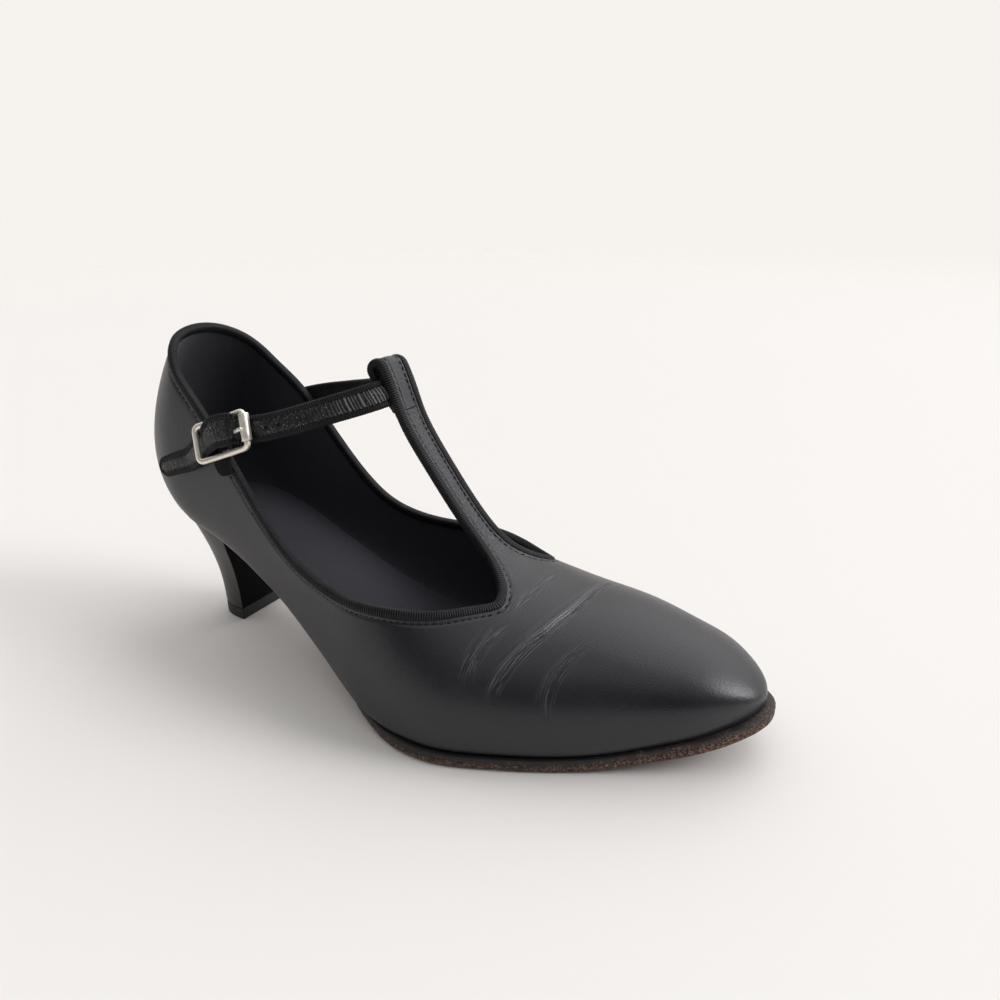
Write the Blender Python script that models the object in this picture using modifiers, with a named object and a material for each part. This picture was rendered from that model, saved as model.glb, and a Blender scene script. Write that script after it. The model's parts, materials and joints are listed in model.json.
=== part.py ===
"""Latin dance shoe for the right foot: one hollow leather upper with a T-strap, ribbed topline binding,
insole, outsole, flared heel with its top piece, ankle strap and a roller buckle. X runs to the toe,
+Y to the inner side of the foot, Z up from the floor. Tables are in millimetres, measured from the
back of the heel on the floor."""

import math

import bmesh
import bpy
import numpy as np
from mathutils import Matrix, Vector
from mathutils.bvhtree import BVHTree

# Placing: the shoe's outline box is centred on the origin, its sole on z = 0
MM = 0.001
BOX_CENTRE_MM = np.array([112.93, -3.0, 0.0])
OUTER = -1
INNER = 1
QUARTER_TURN = math.pi / 2

# The last, a row per cross-section from the back of the heel to the tip of the toe.
# feather is the line where the upper turns under, bulge the widest line of the wall, ridge the top line.
LAST_COLUMNS = ("x", "feather_z", "feather_outer", "feather_inner", "bulge_outer", "bulge_inner",
                "bulge_rise", "ridge_z", "ridge_y", "fullness")
LAST = np.array([
    (0, 44.0, 19.0, 19.0, 24.0, 24.0, 25.0, 146.0, 0.0, 2.10),
    (20, 41.5, 19.0, 20.0, 24.0, 25.0, 23.5, 143.0, 0.0, 2.10),
    (44, 36.0, 21.5, 20.0, 24.5, 25.0, 22.0, 137.0, 0.0, 2.05),
    (68, 27.2, 25.0, 19.0, 27.0, 25.0, 20.0, 130.0, 0.0, 2.00),
    (93, 15.4, 32.0, 21.0, 33.5, 27.0, 17.0, 117.0, 0.5, 2.00),
    (117, 6.2, 40.5, 27.0, 41.5, 32.0, 14.0, 80.0, 0.5, 2.05),
    (142, 4.3, 42.5, 31.0, 43.5, 35.0, 11.0, 49.5, 1.5, 2.10),
    (161, 4.3, 36.7, 33.5, 38.5, 36.3, 10.0, 42.0, 3.5, 2.15),
    (186, 5.5, 26.2, 30.8, 29.0, 33.2, 9.0, 37.5, 3.2, 2.20),
    (205, 9.8, 18.2, 23.5, 20.5, 25.0, 8.2, 32.2, 1.7, 2.20),
    (225, 15.8, 12.5, 14.0, 14.0, 15.5, 6.8, 27.0, 0.0, 2.30),
])
LAST_LENGTH = 225.0
HEEL_ROUND = 24.0
TOE_ROUND = 20.0
TOE_LEAN = 10.0
TOE_LEAN_START = 120.0
TOE_TIP_HEIGHT = 0.25
TOE_TIP_RISE = 0.4
BULGE_SHARE = 0.25
BACK_TUCK = 11.5
BACK_LEAN = 18.0
BACK_LEAN_HEIGHT = 40.0
BACK_LEAN_POWER = 1.6
BACK_TUCK_POWER = 2.5
BACK_OUT = 1.8
BACK_REACH = 60.0

# Upper
WALL = 1.6
GAP = 0.3
TOPLINE_COLUMNS = ("x", "z_outer", "z_inner")
TOPLINE = np.array([
    (0, 111.0, 111.0), (10, 107.0, 105.0), (23, 98.0, 96.0), (38, 87.0, 87.5), (54, 71.0, 73.0),
    (67, 56.0, 58.0), (78, 47.7, 48.5), (92, 43.6, 43.5), (110, 42.8, 42.0), (125, 43.3, 42.5),
    (140, 42.2, 41.5), (156, 40.0, 39.5),
])
THROAT_X = 150.0
THROAT_ROUND = 13.0
THROAT_FROM_RIDGE = {OUTER: 20.0, INNER: 16.0}
TOE_STRIP_SHARE = 0.45
STRAP_COLUMNS = ("x", "half_width")
T_STRAP = np.array([(105, 6.0), (125, 5.4), (138, 5.8), (150, 8.5)])
T_STRAP_TOP_X = 110.5
TURN_IN = 7.0
TINY = 1e-6
HEEL_STATION_COUNT = 9
QUARTER_STATION_COUNT = 18
THROAT_STATION_COUNT = 6
VAMP_STATION_COUNT = 9
TOE_STATION_COUNT = 7
T_STATION_COUNT = 6
WALL_ROWS = 12
WALL_ROW_POWER = 1.35
STRIP_COLUMNS = 3
SECTION_SAMPLES = 241

# Fold of the T-strap's end: how far along the strap and how far off its face each point of the path lies
LOOP_RISE = 17.0
LOOP_TILT = 7.0
LOOP_BOW = 1.0
LOOP_TURN = 3.0
LOOP_TURN_STEPS = 8
LOOP_RETURN = 9.0
LOOP_SLACK = 3.2
LOOP_FIT = 0.2

# Binding
BINDING_WIDTH = 2.7
BINDING_THICK = 0.5
BINDING_GAP = 0.4

# Insole and outsole; edge is how far the piece's outline lies outside the feather line
INSOLE_EDGE = -2.2
INSOLE_THICK = 2.0
SOLE_START = 34.0
SOLE_STATION_COUNT = 35
SOLE_COLUMNS = ("x", "edge", "thick")
OUTSOLE = np.array([
    (34, -5.5, 2.4), (60, -6.5, 2.4), (88, -5.0, 2.8), (110, -1.5, 3.4), (128, 1.0, 4.2),
    (161, 1.6, 4.4), (190, 1.8, 4.6), (225, 2.6, 4.6),
])
OUTSOLE_EDGE_DROP = 0.6
OUTSOLE_EDGE_ROUND = 0.8

# Heel, a row per level from the seat (down 0) to the top piece (down 1)
HEEL_COLUMNS = ("down", "back_x", "breast_x", "half_width")
HEEL = np.array([
    (0.00, 10.0, 38.0, 19.6), (0.12, 12.6, 37.0, 18.2), (0.35, 15.8, 35.6, 15.4),
    (0.60, 17.6, 34.4, 13.0), (0.85, 18.2, 33.6, 11.6), (1.00, 18.2, 33.3, 11.3),
])
HEEL_LEVELS = 10
HEEL_POINTS = 20
HEEL_SQUARE = 2.6
TOP_PIECE_HEIGHT = 4.5

# Buckle, in its own frame: along to the toe, across upward, off outward from the shoe
BUCKLE_CENTRE = np.array([55.1, -27.45, 81.95])
BUCKLE_TURN = 11.0
BUCKLE_RISE = 20.5
BUCKLE_TILT = 14.0
BUCKLE_SKEW = 0.13
BUCKLE_LENGTH = 20.8
BUCKLE_HEIGHT = 11.4
BUCKLE_CORNER = 1.5
BUCKLE_WIRE = 0.85
WIRE_ROUND_STEPS = 2
WIRE_MERGE = 0.01
BUCKLE_CORNER_STEPS = 3
BUCKLE_END_LIFT = 0.8
BUCKLE_SIDE_POINTS = (4.0, 0.0, -4.0)
BAR_BEND = 1.2
PIVOT_ALONG = -1.0
PIVOT_OFF = -1.5
PIVOT_WIRE = 0.8
ROLLER_RADIUS = 1.55
ROLLER_HALF = 4.0
ROLLER_STEPS = 20
PRONG_WIRE = 0.55
PRONG_RING = 1.6
PRONG_HOOK_DEGREES = (-250.0, 65.0)
PRONG_HOOK_POINTS = 16
PRONG_REST_BACK = 0.5
PRONG_TIP = 1.2
PRONG_HOLE = 0.95
HOLE_REACH = (0.45, 0.9)

# Ankle strap: half width and half thickness, and the tab that holds the buckle
STRAP_HALF_WIDTH = 4.3
STRAP_HALF_THICK = 0.8
STRAP_CORNER = 0.35
STRAP_TIP = 4.5
STRAP_TIP_DEGREES = (22.0, 44.0, 66.0, 86.0)
STRAP_STEP = 3.0
STRAP_BUCKLE_STEP = 0.8
STRAP_BUCKLE_REACH = 5.0
STRAP_ROLLER_ROW = 9
STRAP_REAR_ROW = 17
STRAP_NUDGE = 0.2
STRAP_TIP_WIDTH = 0.1
STRAP_TAPER = 0.7
STRAP_OVER_BAR = 2.5
TAB_HALF_WIDTH = 4.2
TAB_LOWS = (-7.4, -11.4, -11.9, -11.9)
TAB_SLOT = 1.9
TAB_THICK = 1.0
TAB_LENGTH = 8.6
TAB_MIDDLE = 0.72
TAB_DROP = 0.3
TAB_ARM = 3.4
TAB_FLAP_EDGE = 0.6
TAB_BEND_STEPS = 6


def smooth(table, columns, name, x):
    """Value at x of the smooth curve through one column of a table."""
    knots = table[:, 0]
    values = table[:, columns.index(name)]
    steps = np.diff(knots)
    slopes = np.diff(values) / steps
    tangents = np.zeros_like(values)
    tangents[1:-1] = (slopes[:-1] * steps[1:] + slopes[1:] * steps[:-1]) / (steps[:-1] + steps[1:])
    tangents[0] = slopes[0]
    tangents[-1] = slopes[-1]
    x = np.asarray(x, dtype=float)
    i = np.clip(np.searchsorted(knots, x) - 1, 0, len(steps) - 1)
    u = (x - knots[i]) / steps[i]
    start = values[i] * (1 + 2 * u) * (1 - u) ** 2 + tangents[i] * steps[i] * u * (1 - u) ** 2
    end = values[i + 1] * u * u * (3 - 2 * u) + tangents[i + 1] * steps[i] * u * u * (u - 1)
    return start + end


def last_value(name, x):
    return smooth(LAST, LAST_COLUMNS, name, x)


def end_round(share):
    """Width factor of a rounded end; share is 0 where the rounding starts and 1 at the tip."""
    return np.sqrt(np.clip(1 - np.clip(share, 0, 1) ** 2, 0, 1))


def last_point(x, t, side):
    """Point of the last's surface at station x; t is 0 on the feather line and 1 on the ridge."""
    x, t = np.broadcast_arrays(np.asarray(x, dtype=float), np.asarray(t, dtype=float))
    label = "outer" if side == OUTER else "inner"
    toe = end_round(1 - (LAST_LENGTH - x) / TOE_ROUND)
    width = end_round(1 - x / HEEL_ROUND) * toe
    feather = last_value("feather_" + label, x) * width
    bulge = last_value("bulge_" + label, x) * width
    feather_z = last_value("feather_z", x)
    full_height = last_value("ridge_z", x) - feather_z
    ridge_z = feather_z + full_height * (TOE_TIP_HEIGHT + (1 - TOE_TIP_HEIGHT) * toe)
    rise = last_value("bulge_rise", x) * (TOE_TIP_RISE + (1 - TOE_TIP_RISE) * toe)
    bulge_z = feather_z + rise
    low = np.clip(t / BULGE_SHARE, 0, 1) * QUARTER_TURN
    high = np.clip((t - BULGE_SHARE) / (1 - BULGE_SHARE), 0, 1) * QUARTER_TURN
    power = 2 / last_value("fullness", x)
    across = np.clip(np.cos(high), 0, 1) ** power
    ridge_y = side * last_value("ridge_y", x) * width
    low_part = t < BULGE_SHARE
    y = np.where(low_part, feather + (bulge - feather) * np.sin(low),
                 ridge_y + (bulge - ridge_y) * across)
    z = np.where(low_part, feather_z + rise * (1 - np.cos(low)),
                 bulge_z + (ridge_z - bulge_z) * np.sin(high) ** power)
    below = BACK_TUCK * (np.clip(bulge_z - z, 0, None) / np.maximum(rise, TINY)) ** BACK_TUCK_POWER
    above = BACK_LEAN * (np.clip(z - bulge_z, 0, None) / BACK_LEAN_HEIGHT) ** BACK_LEAN_POWER
    back = (below + above - BACK_OUT) * np.clip(1 - x / BACK_REACH, 0, 1)
    lean = TOE_LEAN * np.clip((x - TOE_LEAN_START) / (LAST_LENGTH - TOE_LEAN_START), 0, 1) ** 2
    return np.stack([x + back, lean + side * y, z], axis=-1)


def bottom_z(real_x):
    """Height of the last's underside above the floor at a real distance from the back."""
    shift = BACK_TUCK - BACK_OUT
    station = (real_x - shift) / (1 - shift / BACK_REACH)
    return last_value("feather_z", np.where(real_x > BACK_REACH, real_x, station))


def from_ridge(x, side):
    """One half cross-section, and each point's distance from the ridge along the leather."""
    points = last_point(x, np.linspace(0, 1, SECTION_SAMPLES), side)
    steps = np.linalg.norm(np.diff(points, axis=0), axis=1)
    along = np.concatenate([[0], np.cumsum(steps)])
    return points, along[-1] - along


def on_section(x, side, distances):
    """Points of the section at station x at the given distances from the ridge."""
    points, along = from_ridge(x, side)
    return np.stack([np.interp(distances, along[::-1], points[::-1, k]) for k in range(3)], axis=-1)


def throat_share(x):
    return end_round(1 - (THROAT_X - x) / THROAT_ROUND)


def wall_top(x, side):
    """Distance from the ridge where the side wall's grid ends: topline, throat arc, a line to the toe."""
    points, along = from_ridge(x, side)
    front = THROAT_FROM_RIDGE[side]
    if x > THROAT_X:
        start_share = front / from_ridge(THROAT_X, side)[1][0]
        forward = (x - THROAT_X) / (LAST_LENGTH - THROAT_X)
        return along[0] * (start_share + (TOE_STRIP_SHARE - start_share) * forward)
    edge_z = smooth(TOPLINE, TOPLINE_COLUMNS, "z_outer" if side == OUTER else "z_inner", x)
    edge = np.interp(edge_z, points[:, 2], along)
    return front + (edge - front) * throat_share(x)


def strip_edge(x, side):
    """Distance from the ridge to the edge of the centre strip: T-strap, throat arc, then the same line."""
    if x > THROAT_X:
        return wall_top(x, side)
    half = smooth(T_STRAP, STRAP_COLUMNS, "half_width", x)
    front = THROAT_FROM_RIDGE[side]
    return front + (half - front) * throat_share(x)


def steps_after(start, end, count):
    """Even steps from start to end, the start left out."""
    return np.linspace(start, end, count + 1)[1:]


# Stations of the cross-sections, closer together in the rounded ends and the throat's arc
THROAT_START = THROAT_X - THROAT_ROUND
TOE_START = LAST_LENGTH - TOE_ROUND
HEEL_STATIONS = HEEL_ROUND * (1 - np.cos(np.linspace(0, QUARTER_TURN, HEEL_STATION_COUNT)))
QUARTER_STATIONS = steps_after(HEEL_ROUND, THROAT_START, QUARTER_STATION_COUNT)
THROAT_STATIONS = THROAT_X - THROAT_ROUND * (1 - np.sin(steps_after(0, QUARTER_TURN, THROAT_STATION_COUNT)))
VAMP_STATIONS = steps_after(THROAT_X, TOE_START, VAMP_STATION_COUNT)
TOE_STATIONS = LAST_LENGTH - TOE_ROUND * (1 - np.sin(steps_after(0, QUARTER_TURN, TOE_STATION_COUNT)))
FRONT_STATIONS = np.concatenate([THROAT_STATIONS, VAMP_STATIONS, TOE_STATIONS])
WALL_STATIONS = np.concatenate([HEEL_STATIONS, QUARTER_STATIONS, FRONT_STATIONS])
T_STATIONS = np.linspace(T_STRAP_TOP_X, THROAT_START, T_STATION_COUNT + 1)
STRIP_STATIONS = np.concatenate([T_STATIONS, FRONT_STATIONS])


def feather_edges(stations):
    """Feather points of both sides in plan, each with its outward direction."""
    outer = last_point(stations, 0.0, OUTER)
    inner = last_point(stations, 0.0, INNER)
    ring = np.concatenate([outer, inner[-2:0:-1]])[:, :2]
    ahead = np.roll(ring, -1, axis=0)
    behind = np.roll(ring, 1, axis=0)
    tangent = ahead - behind
    outward = np.stack([tangent[:, 1], -tangent[:, 0]], axis=-1)
    outward /= np.linalg.norm(outward, axis=1)[:, None]
    count = len(stations)
    inner_outward = np.concatenate([outward[:1], outward[count:][::-1], outward[count - 1:count]])
    return {OUTER: (outer[:, :2], outward[:count]), INNER: (inner[:, :2], inner_outward)}


def moved_edge(plan, outward, distance):
    """The feather line moved outward in plan, back on the last's underside."""
    moved = plan + outward * np.asarray(distance)[..., None]
    return np.column_stack([moved, bottom_z(moved[:, 0])])


class Surface:
    """Faces of one mesh in millimetres; corners that coincide are one vertex."""

    def __init__(self):
        self.points = []
        self.faces = []
        self.known = {}

    def corner(self, point):
        key = tuple(np.round(point, 3) + 0.0)
        if key not in self.known:
            self.known[key] = len(self.points)
            self.points.append(np.array(point, dtype=float))
        return self.known[key]

    def face(self, corners):
        ring = []
        for point in corners:
            index = self.corner(point)
            if index not in ring:
                ring.append(index)
        if len(ring) > 2:
            self.faces.append(ring)

    def grid(self, rows, flip=False, keep=None):
        for i in range(len(rows) - 1):
            for j in range(len(rows[i]) - 1):
                if keep is not None and not keep(i, j):
                    continue
                corners = [rows[i][j], rows[i + 1][j], rows[i + 1][j + 1], rows[i][j + 1]]
                self.face(corners[::-1] if flip else corners)

    def loft(self, rings):
        """Closed rings joined in order; an end ring that is not flattened to a line gets a cap."""
        wrapped = [list(ring) + [ring[0]] for ring in rings]
        self.grid(wrapped)
        for end in (rings[0], rings[-1][::-1]):
            if len({self.corner(point) for point in end}) == len(end):
                self.face(end)


def to_metres(points):
    return (np.asarray(points) - BOX_CENTRE_MM) * MM


def new_collection(name):
    made = bpy.data.collections.new(name)
    bpy.context.scene.collection.children.link(made)
    return made


def make_material(name, colour, roughness, metallic=0.0):
    made = bpy.data.materials.new(name)
    made.use_nodes = True
    shader = made.node_tree.nodes["Principled BSDF"]
    shader.inputs["Base Color"].default_value = (*colour, 1.0)
    shader.inputs["Roughness"].default_value = roughness
    shader.inputs["Metallic"].default_value = metallic
    return made


def add_object(name, mesh, material, collection):
    made = bpy.data.objects.new(name, mesh)
    made.data.materials.append(material)
    collection.objects.link(made)
    return made


def add_surface(name, surface, material, closed=True):
    mesh = bpy.data.meshes.new(name)
    mesh.from_pydata([Vector(p) for p in to_metres(surface.points)], [], surface.faces)
    work = bmesh.new()
    work.from_mesh(mesh)
    if closed:
        bmesh.ops.recalc_face_normals(work, faces=work.faces)
    work.to_mesh(mesh)
    work.free()
    return add_object(name, mesh, material, SHOE)


def add_wall(piece, thick):
    """Gives an open surface its wall, built inward from the outer face."""
    wall = piece.modifiers.new("wall", "SOLIDIFY")
    wall.thickness = thick * MM
    wall.offset = -1.0
    wall.use_even_offset = True


def unit(vector):
    return vector / np.linalg.norm(vector)


for old in list(bpy.data.objects):
    bpy.data.objects.remove(old, do_unlink=True)

SHOE = new_collection("latin_dance_shoe")
CUTTERS = new_collection("cutters")

LEATHER = make_material("black_leather", (0.02, 0.021, 0.024), 0.38)
BINDING = make_material("ribbed_tape", (0.012, 0.012, 0.014), 0.7)
LINING = make_material("dark_lining", (0.016, 0.017, 0.024), 0.75)
SOLE = make_material("sole_leather", (0.09, 0.05, 0.035), 0.7)
HEEL_COVER = make_material("heel_cover", (0.015, 0.015, 0.017), 0.35)
TOP_PIECE = make_material("heel_rubber", (0.012, 0.012, 0.012), 0.7)
STRAP = make_material("strap_leather", (0.018, 0.018, 0.021), 0.42)
METAL = make_material("nickel", (0.75, 0.73, 0.69), 0.2, 1.0)

# Upper: side walls from the turned-in edge to the topline
upper = Surface()
edges = feather_edges(WALL_STATIONS)
wall_shares = (np.arange(WALL_ROWS + 1) / WALL_ROWS) ** WALL_ROW_POWER
topline_path = {}
for side in (OUTER, INNER):
    plan, outward = edges[side]
    turned = [moved_edge(plan, outward, -TURN_IN), moved_edge(plan, outward, -TURN_IN / 2)]
    rows = []
    for k, station in enumerate(WALL_STATIONS):
        whole = from_ridge(station, side)[1][0]
        top = wall_top(station, side)
        wall_points = on_section(station, side, whole + (top - whole) * wall_shares)
        rows.append([turned[0][k], turned[1][k], *wall_points])
    upper.grid(rows, flip=side == INNER)
    topline_path[side] = [row[-1] for row, station in zip(rows, WALL_STATIONS) if station <= THROAT_X]

# Upper: the strip down the middle, T-strap and vamp
strip_shares = np.linspace(1, 0, STRIP_COLUMNS + 1)
strip_rows = []
for station in STRIP_STATIONS:
    outer_points = on_section(station, OUTER, strip_edge(station, OUTER) * strip_shares)
    inner_points = on_section(station, INNER, strip_edge(station, INNER) * strip_shares)
    strip_rows.append([*outer_points, *inner_points[-2::-1]])
upper.grid(strip_rows)
strap_edge = {
    OUTER: [row[0] for row, station in zip(strip_rows, STRIP_STATIONS) if station <= THROAT_X],
    INNER: [row[-1] for row, station in zip(strip_rows, STRIP_STATIONS) if station <= THROAT_X],
}

# Upper: the T-strap's end folded back into a loop round the ankle strap
top_row = np.array(strip_rows[0])
loop_start = top_row[STRIP_COLUMNS]
strap_up = unit(loop_start - strip_rows[1][STRIP_COLUMNS])
loop_angle = math.atan2(strap_up[2], -strap_up[0]) + math.radians(LOOP_TILT)
loop_up = np.array([-math.cos(loop_angle), 0.0, math.sin(loop_angle)])
loop_off = unit(np.array([loop_up[2], 0.0, -loop_up[0]]))
loop_path = [(LOOP_RISE / 3, LOOP_BOW / 2), (LOOP_RISE * 2 / 3, LOOP_BOW)]
for step in range(LOOP_TURN_STEPS + 1):
    angle = math.pi * step / LOOP_TURN_STEPS
    turn_off = LOOP_TURN * (1 - math.cos(angle))
    loop_path.append((LOOP_RISE + LOOP_TURN * math.sin(angle), LOOP_BOW - turn_off))
return_off = -(2 * WALL + BINDING_GAP + BINDING_THICK + GAP)
loop_path.append((LOOP_RISE / 2, LOOP_BOW - 2 * LOOP_TURN))
loop_path.append((LOOP_RISE / 6, LOOP_BOW - 2 * LOOP_TURN))
loop_path.append((-LOOP_RETURN / 4, return_off))
loop_path.append((-LOOP_RETURN, return_off))
loop_rows = [top_row]
for rise, off in loop_path:
    loop_rows.append(top_row + loop_up * rise + loop_off * off)
upper.grid(loop_rows, flip=True)
tunnel_rise = LOOP_RISE - STRAP_HALF_WIDTH - LOOP_SLACK
tunnel = loop_start + loop_up * tunnel_rise + loop_off * (LOOP_BOW - LOOP_TURN - LOOP_FIT)
upper_piece = add_surface("upper", upper, LEATHER, closed=False)
add_wall(upper_piece, WALL)

# Binding: a tape folded over the open edge, from one side of the T-strap round the heel to the other
edge_path = [*strap_edge[OUTER], *topline_path[OUTER][-2::-1], *topline_path[INNER][1:],
             *strap_edge[INNER][-2::-1]]
edge_path = np.array(edge_path)
tree = BVHTree.FromPolygons([Vector(p) for p in upper.points], upper.faces)
binding_rings = []
for k, point in enumerate(edge_path):
    ahead = edge_path[min(k + 1, len(edge_path) - 1)]
    behind = edge_path[max(k - 1, 0)]
    run = unit(ahead - behind)
    normal = np.array(tree.find_nearest(Vector(point))[1])
    inward = unit(np.cross(normal, run))
    foot, foot_normal = tree.find_nearest(Vector(point + inward * BINDING_WIDTH))[:2]
    foot = np.array(foot)
    foot_normal = np.array(foot_normal)
    near = BINDING_GAP
    far = BINDING_GAP + BINDING_THICK
    binding_rings.append([
        foot + foot_normal * far,
        point + normal * far - inward * far,
        point - normal * (WALL + far) - inward * far,
        foot - foot_normal * (WALL + far),
        foot - foot_normal * (WALL + near),
        point - normal * (WALL + near) - inward * near,
        point + normal * near - inward * near,
        foot + foot_normal * near,
    ])
binding = Surface()
binding.loft(binding_rings)
add_surface("topline_binding", binding, BINDING)

# Insole: on the turned-in edge, inside the wall
insole_edge = {side: moved_edge(plan, outward, INSOLE_EDGE) for side, (plan, outward) in edges.items()}
insole = Surface()
insole_low = np.array([0.0, 0.0, WALL + GAP])
insole_high = np.array([0.0, 0.0, WALL + GAP + INSOLE_THICK])
insole_rings = []
for left, right in zip(insole_edge[OUTER], insole_edge[INNER]):
    insole_rings.append([left + insole_low, right + insole_low, right + insole_high, left + insole_high])
insole.loft(insole_rings)
add_surface("insole", insole, LINING)

# Outsole: under the forefoot, narrowing and thinning to the heel's breast
sole_stations = np.concatenate([np.linspace(SOLE_START, TOE_START, SOLE_STATION_COUNT), TOE_STATIONS])
sole_edges = feather_edges(np.concatenate([HEEL_STATIONS, sole_stations]))
behind_sole = len(HEEL_STATIONS)
sole_offset = smooth(OUTSOLE, SOLE_COLUMNS, "edge", sole_stations)
sole_thick = smooth(OUTSOLE, SOLE_COLUMNS, "thick", sole_stations)
sole_top = {}
for side, (plan, outward) in sole_edges.items():
    sole_top[side] = moved_edge(plan[behind_sole:], outward[behind_sole:], sole_offset)
outsole = Surface()
sole_rings = []
for k in range(len(sole_stations)):
    top_z = sole_top[OUTER][k][2] - GAP
    low_z = max(0.0, top_z - sole_thick[k])
    mid_z = low_z + (top_z - low_z) * OUTSOLE_EDGE_DROP
    ring = []
    for side in (OUTER, INNER):
        edge = sole_top[side][k]
        inset = edge[:2] - sole_edges[side][1][k + behind_sole] * OUTSOLE_EDGE_ROUND
        half = [(edge[0], edge[1], top_z), (edge[0], edge[1], mid_z), (inset[0], inset[1], low_z)]
        ring += half if side == OUTER else half[::-1]
    sole_rings.append([np.array(p) for p in ring])
outsole.loft(sole_rings)
add_surface("outsole", outsole, SOLE)


# Heel: levels from the seat down to the top piece, each a rounded back with a straight breast
def heel_ring(down, level):
    back_x = smooth(HEEL, HEEL_COLUMNS, "back_x", down)
    breast_x = smooth(HEEL, HEEL_COLUMNS, "breast_x", down)
    half = smooth(HEEL, HEEL_COLUMNS, "half_width", down)
    ring = []
    for angle in np.linspace(0, math.pi, HEEL_POINTS):
        across = math.copysign(abs(math.cos(angle)) ** (2 / HEEL_SQUARE), math.cos(angle))
        x = breast_x - (breast_x - back_x) * math.sin(angle) ** (2 / HEEL_SQUARE)
        ring.append(np.array([x, -half * across, level(x)]))
    return ring


def heel_level(down):
    bottom = TOP_PIECE_HEIGHT + GAP
    return lambda x: bottom + (float(bottom_z(x)) - GAP - bottom) * (1 - down)


heel = Surface()
heel.loft([heel_ring(down, heel_level(down)) for down in np.linspace(0, 1, HEEL_LEVELS)])
add_surface("heel", heel, HEEL_COVER)
top_piece = Surface()
top_piece.loft([heel_ring(1.0, lambda x: TOP_PIECE_HEIGHT), heel_ring(1.0, lambda x: 0.0)])
add_surface("heel_top_piece", top_piece, TOP_PIECE)

# Buckle frame directions
turn = math.radians(BUCKLE_TURN)
rise = math.radians(BUCKLE_RISE)
tilt = math.radians(BUCKLE_TILT)
ALONG = np.array([math.cos(rise) * math.cos(turn), math.cos(rise) * math.sin(turn), math.sin(rise)])
level_off = np.array([math.sin(turn), -math.cos(turn), 0.0])
level_across = np.cross(ALONG, level_off)
level_across *= math.copysign(1.0, level_across[2])
OFF = level_off * math.cos(tilt) + level_across * math.sin(tilt)
ACROSS = level_across * math.cos(tilt) - level_off * math.sin(tilt)


def on_buckle(along, across, off):
    """A place on the buckle, whose bars the strap has pulled a little askew."""
    return BUCKLE_CENTRE + ALONG * (along + BUCKLE_SKEW * across) + ACROSS * across + OFF * off


def end_lift(along):
    return BUCKLE_END_LIFT * (2 * along / BUCKLE_LENGTH) ** 2


def add_wire(name, path, radius, material, collection, cyclic=False):
    """A round wire along a path of points."""
    curve = bpy.data.curves.new(name, "CURVE")
    curve.dimensions = "3D"
    curve.bevel_depth = radius * MM
    curve.bevel_resolution = WIRE_ROUND_STEPS
    curve.use_fill_caps = True
    line = curve.splines.new("POLY")
    line.points.add(len(path) - 1)
    for point, place in zip(line.points, to_metres(path)):
        point.co = (*place, 1.0)
    line.use_cyclic_u = cyclic
    made = add_object(name, curve, material, collection)
    mesh = bpy.data.meshes.new_from_object(made.evaluated_get(bpy.context.evaluated_depsgraph_get()))
    collection.objects.unlink(made)
    bpy.data.objects.remove(made)
    work = bmesh.new()
    work.from_mesh(mesh)
    bmesh.ops.remove_doubles(work, verts=work.verts, dist=WIRE_MERGE * MM)
    bmesh.ops.recalc_face_normals(work, faces=work.faces)
    work.to_mesh(mesh)
    work.free()
    mesh.materials.clear()
    return add_object(name, mesh, material, collection)


def add_boolean(piece, cutter, operation):
    cutter.hide_render = True
    cutter.display_type = "WIRE"
    cut = piece.modifiers.new(operation.lower(), "BOOLEAN")
    cut.operation = operation
    cut.solver = "EXACT"
    cut.object = cutter


# Buckle frame: a rounded rectangle of wire with a middle bar across
frame_path = []
for quarter_turn, (sign_along, sign_across) in enumerate(((1, 1), (-1, 1), (-1, -1), (1, -1))):
    for step in range(BUCKLE_CORNER_STEPS + 1):
        angle = QUARTER_TURN * (quarter_turn + step / BUCKLE_CORNER_STEPS)
        along = sign_along * (BUCKLE_LENGTH / 2 - BUCKLE_CORNER) + BUCKLE_CORNER * math.cos(angle)
        across = sign_across * (BUCKLE_HEIGHT / 2 - BUCKLE_CORNER) + BUCKLE_CORNER * math.sin(angle)
        frame_path.append(on_buckle(along, across, end_lift(along)))
    if sign_across == sign_along:
        for along in sign_along * np.array(BUCKLE_SIDE_POINTS):
            frame_path.append(on_buckle(along, sign_across * BUCKLE_HEIGHT / 2, end_lift(along)))
frame_piece = add_wire("buckle_frame", frame_path, BUCKLE_WIRE, METAL, SHOE, cyclic=True)
bar_path = [on_buckle(PIVOT_ALONG, BUCKLE_HEIGHT / 2, 0.0)]
for across in (BUCKLE_HEIGHT / 2 - BAR_BEND, BAR_BEND - BUCKLE_HEIGHT / 2):
    bar_path.append(on_buckle(PIVOT_ALONG, across, PIVOT_OFF))
bar_path.append(on_buckle(PIVOT_ALONG, -BUCKLE_HEIGHT / 2, 0.0))
add_boolean(frame_piece, add_wire("middle_bar", bar_path, PIVOT_WIRE, METAL, CUTTERS), "UNION")

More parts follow.
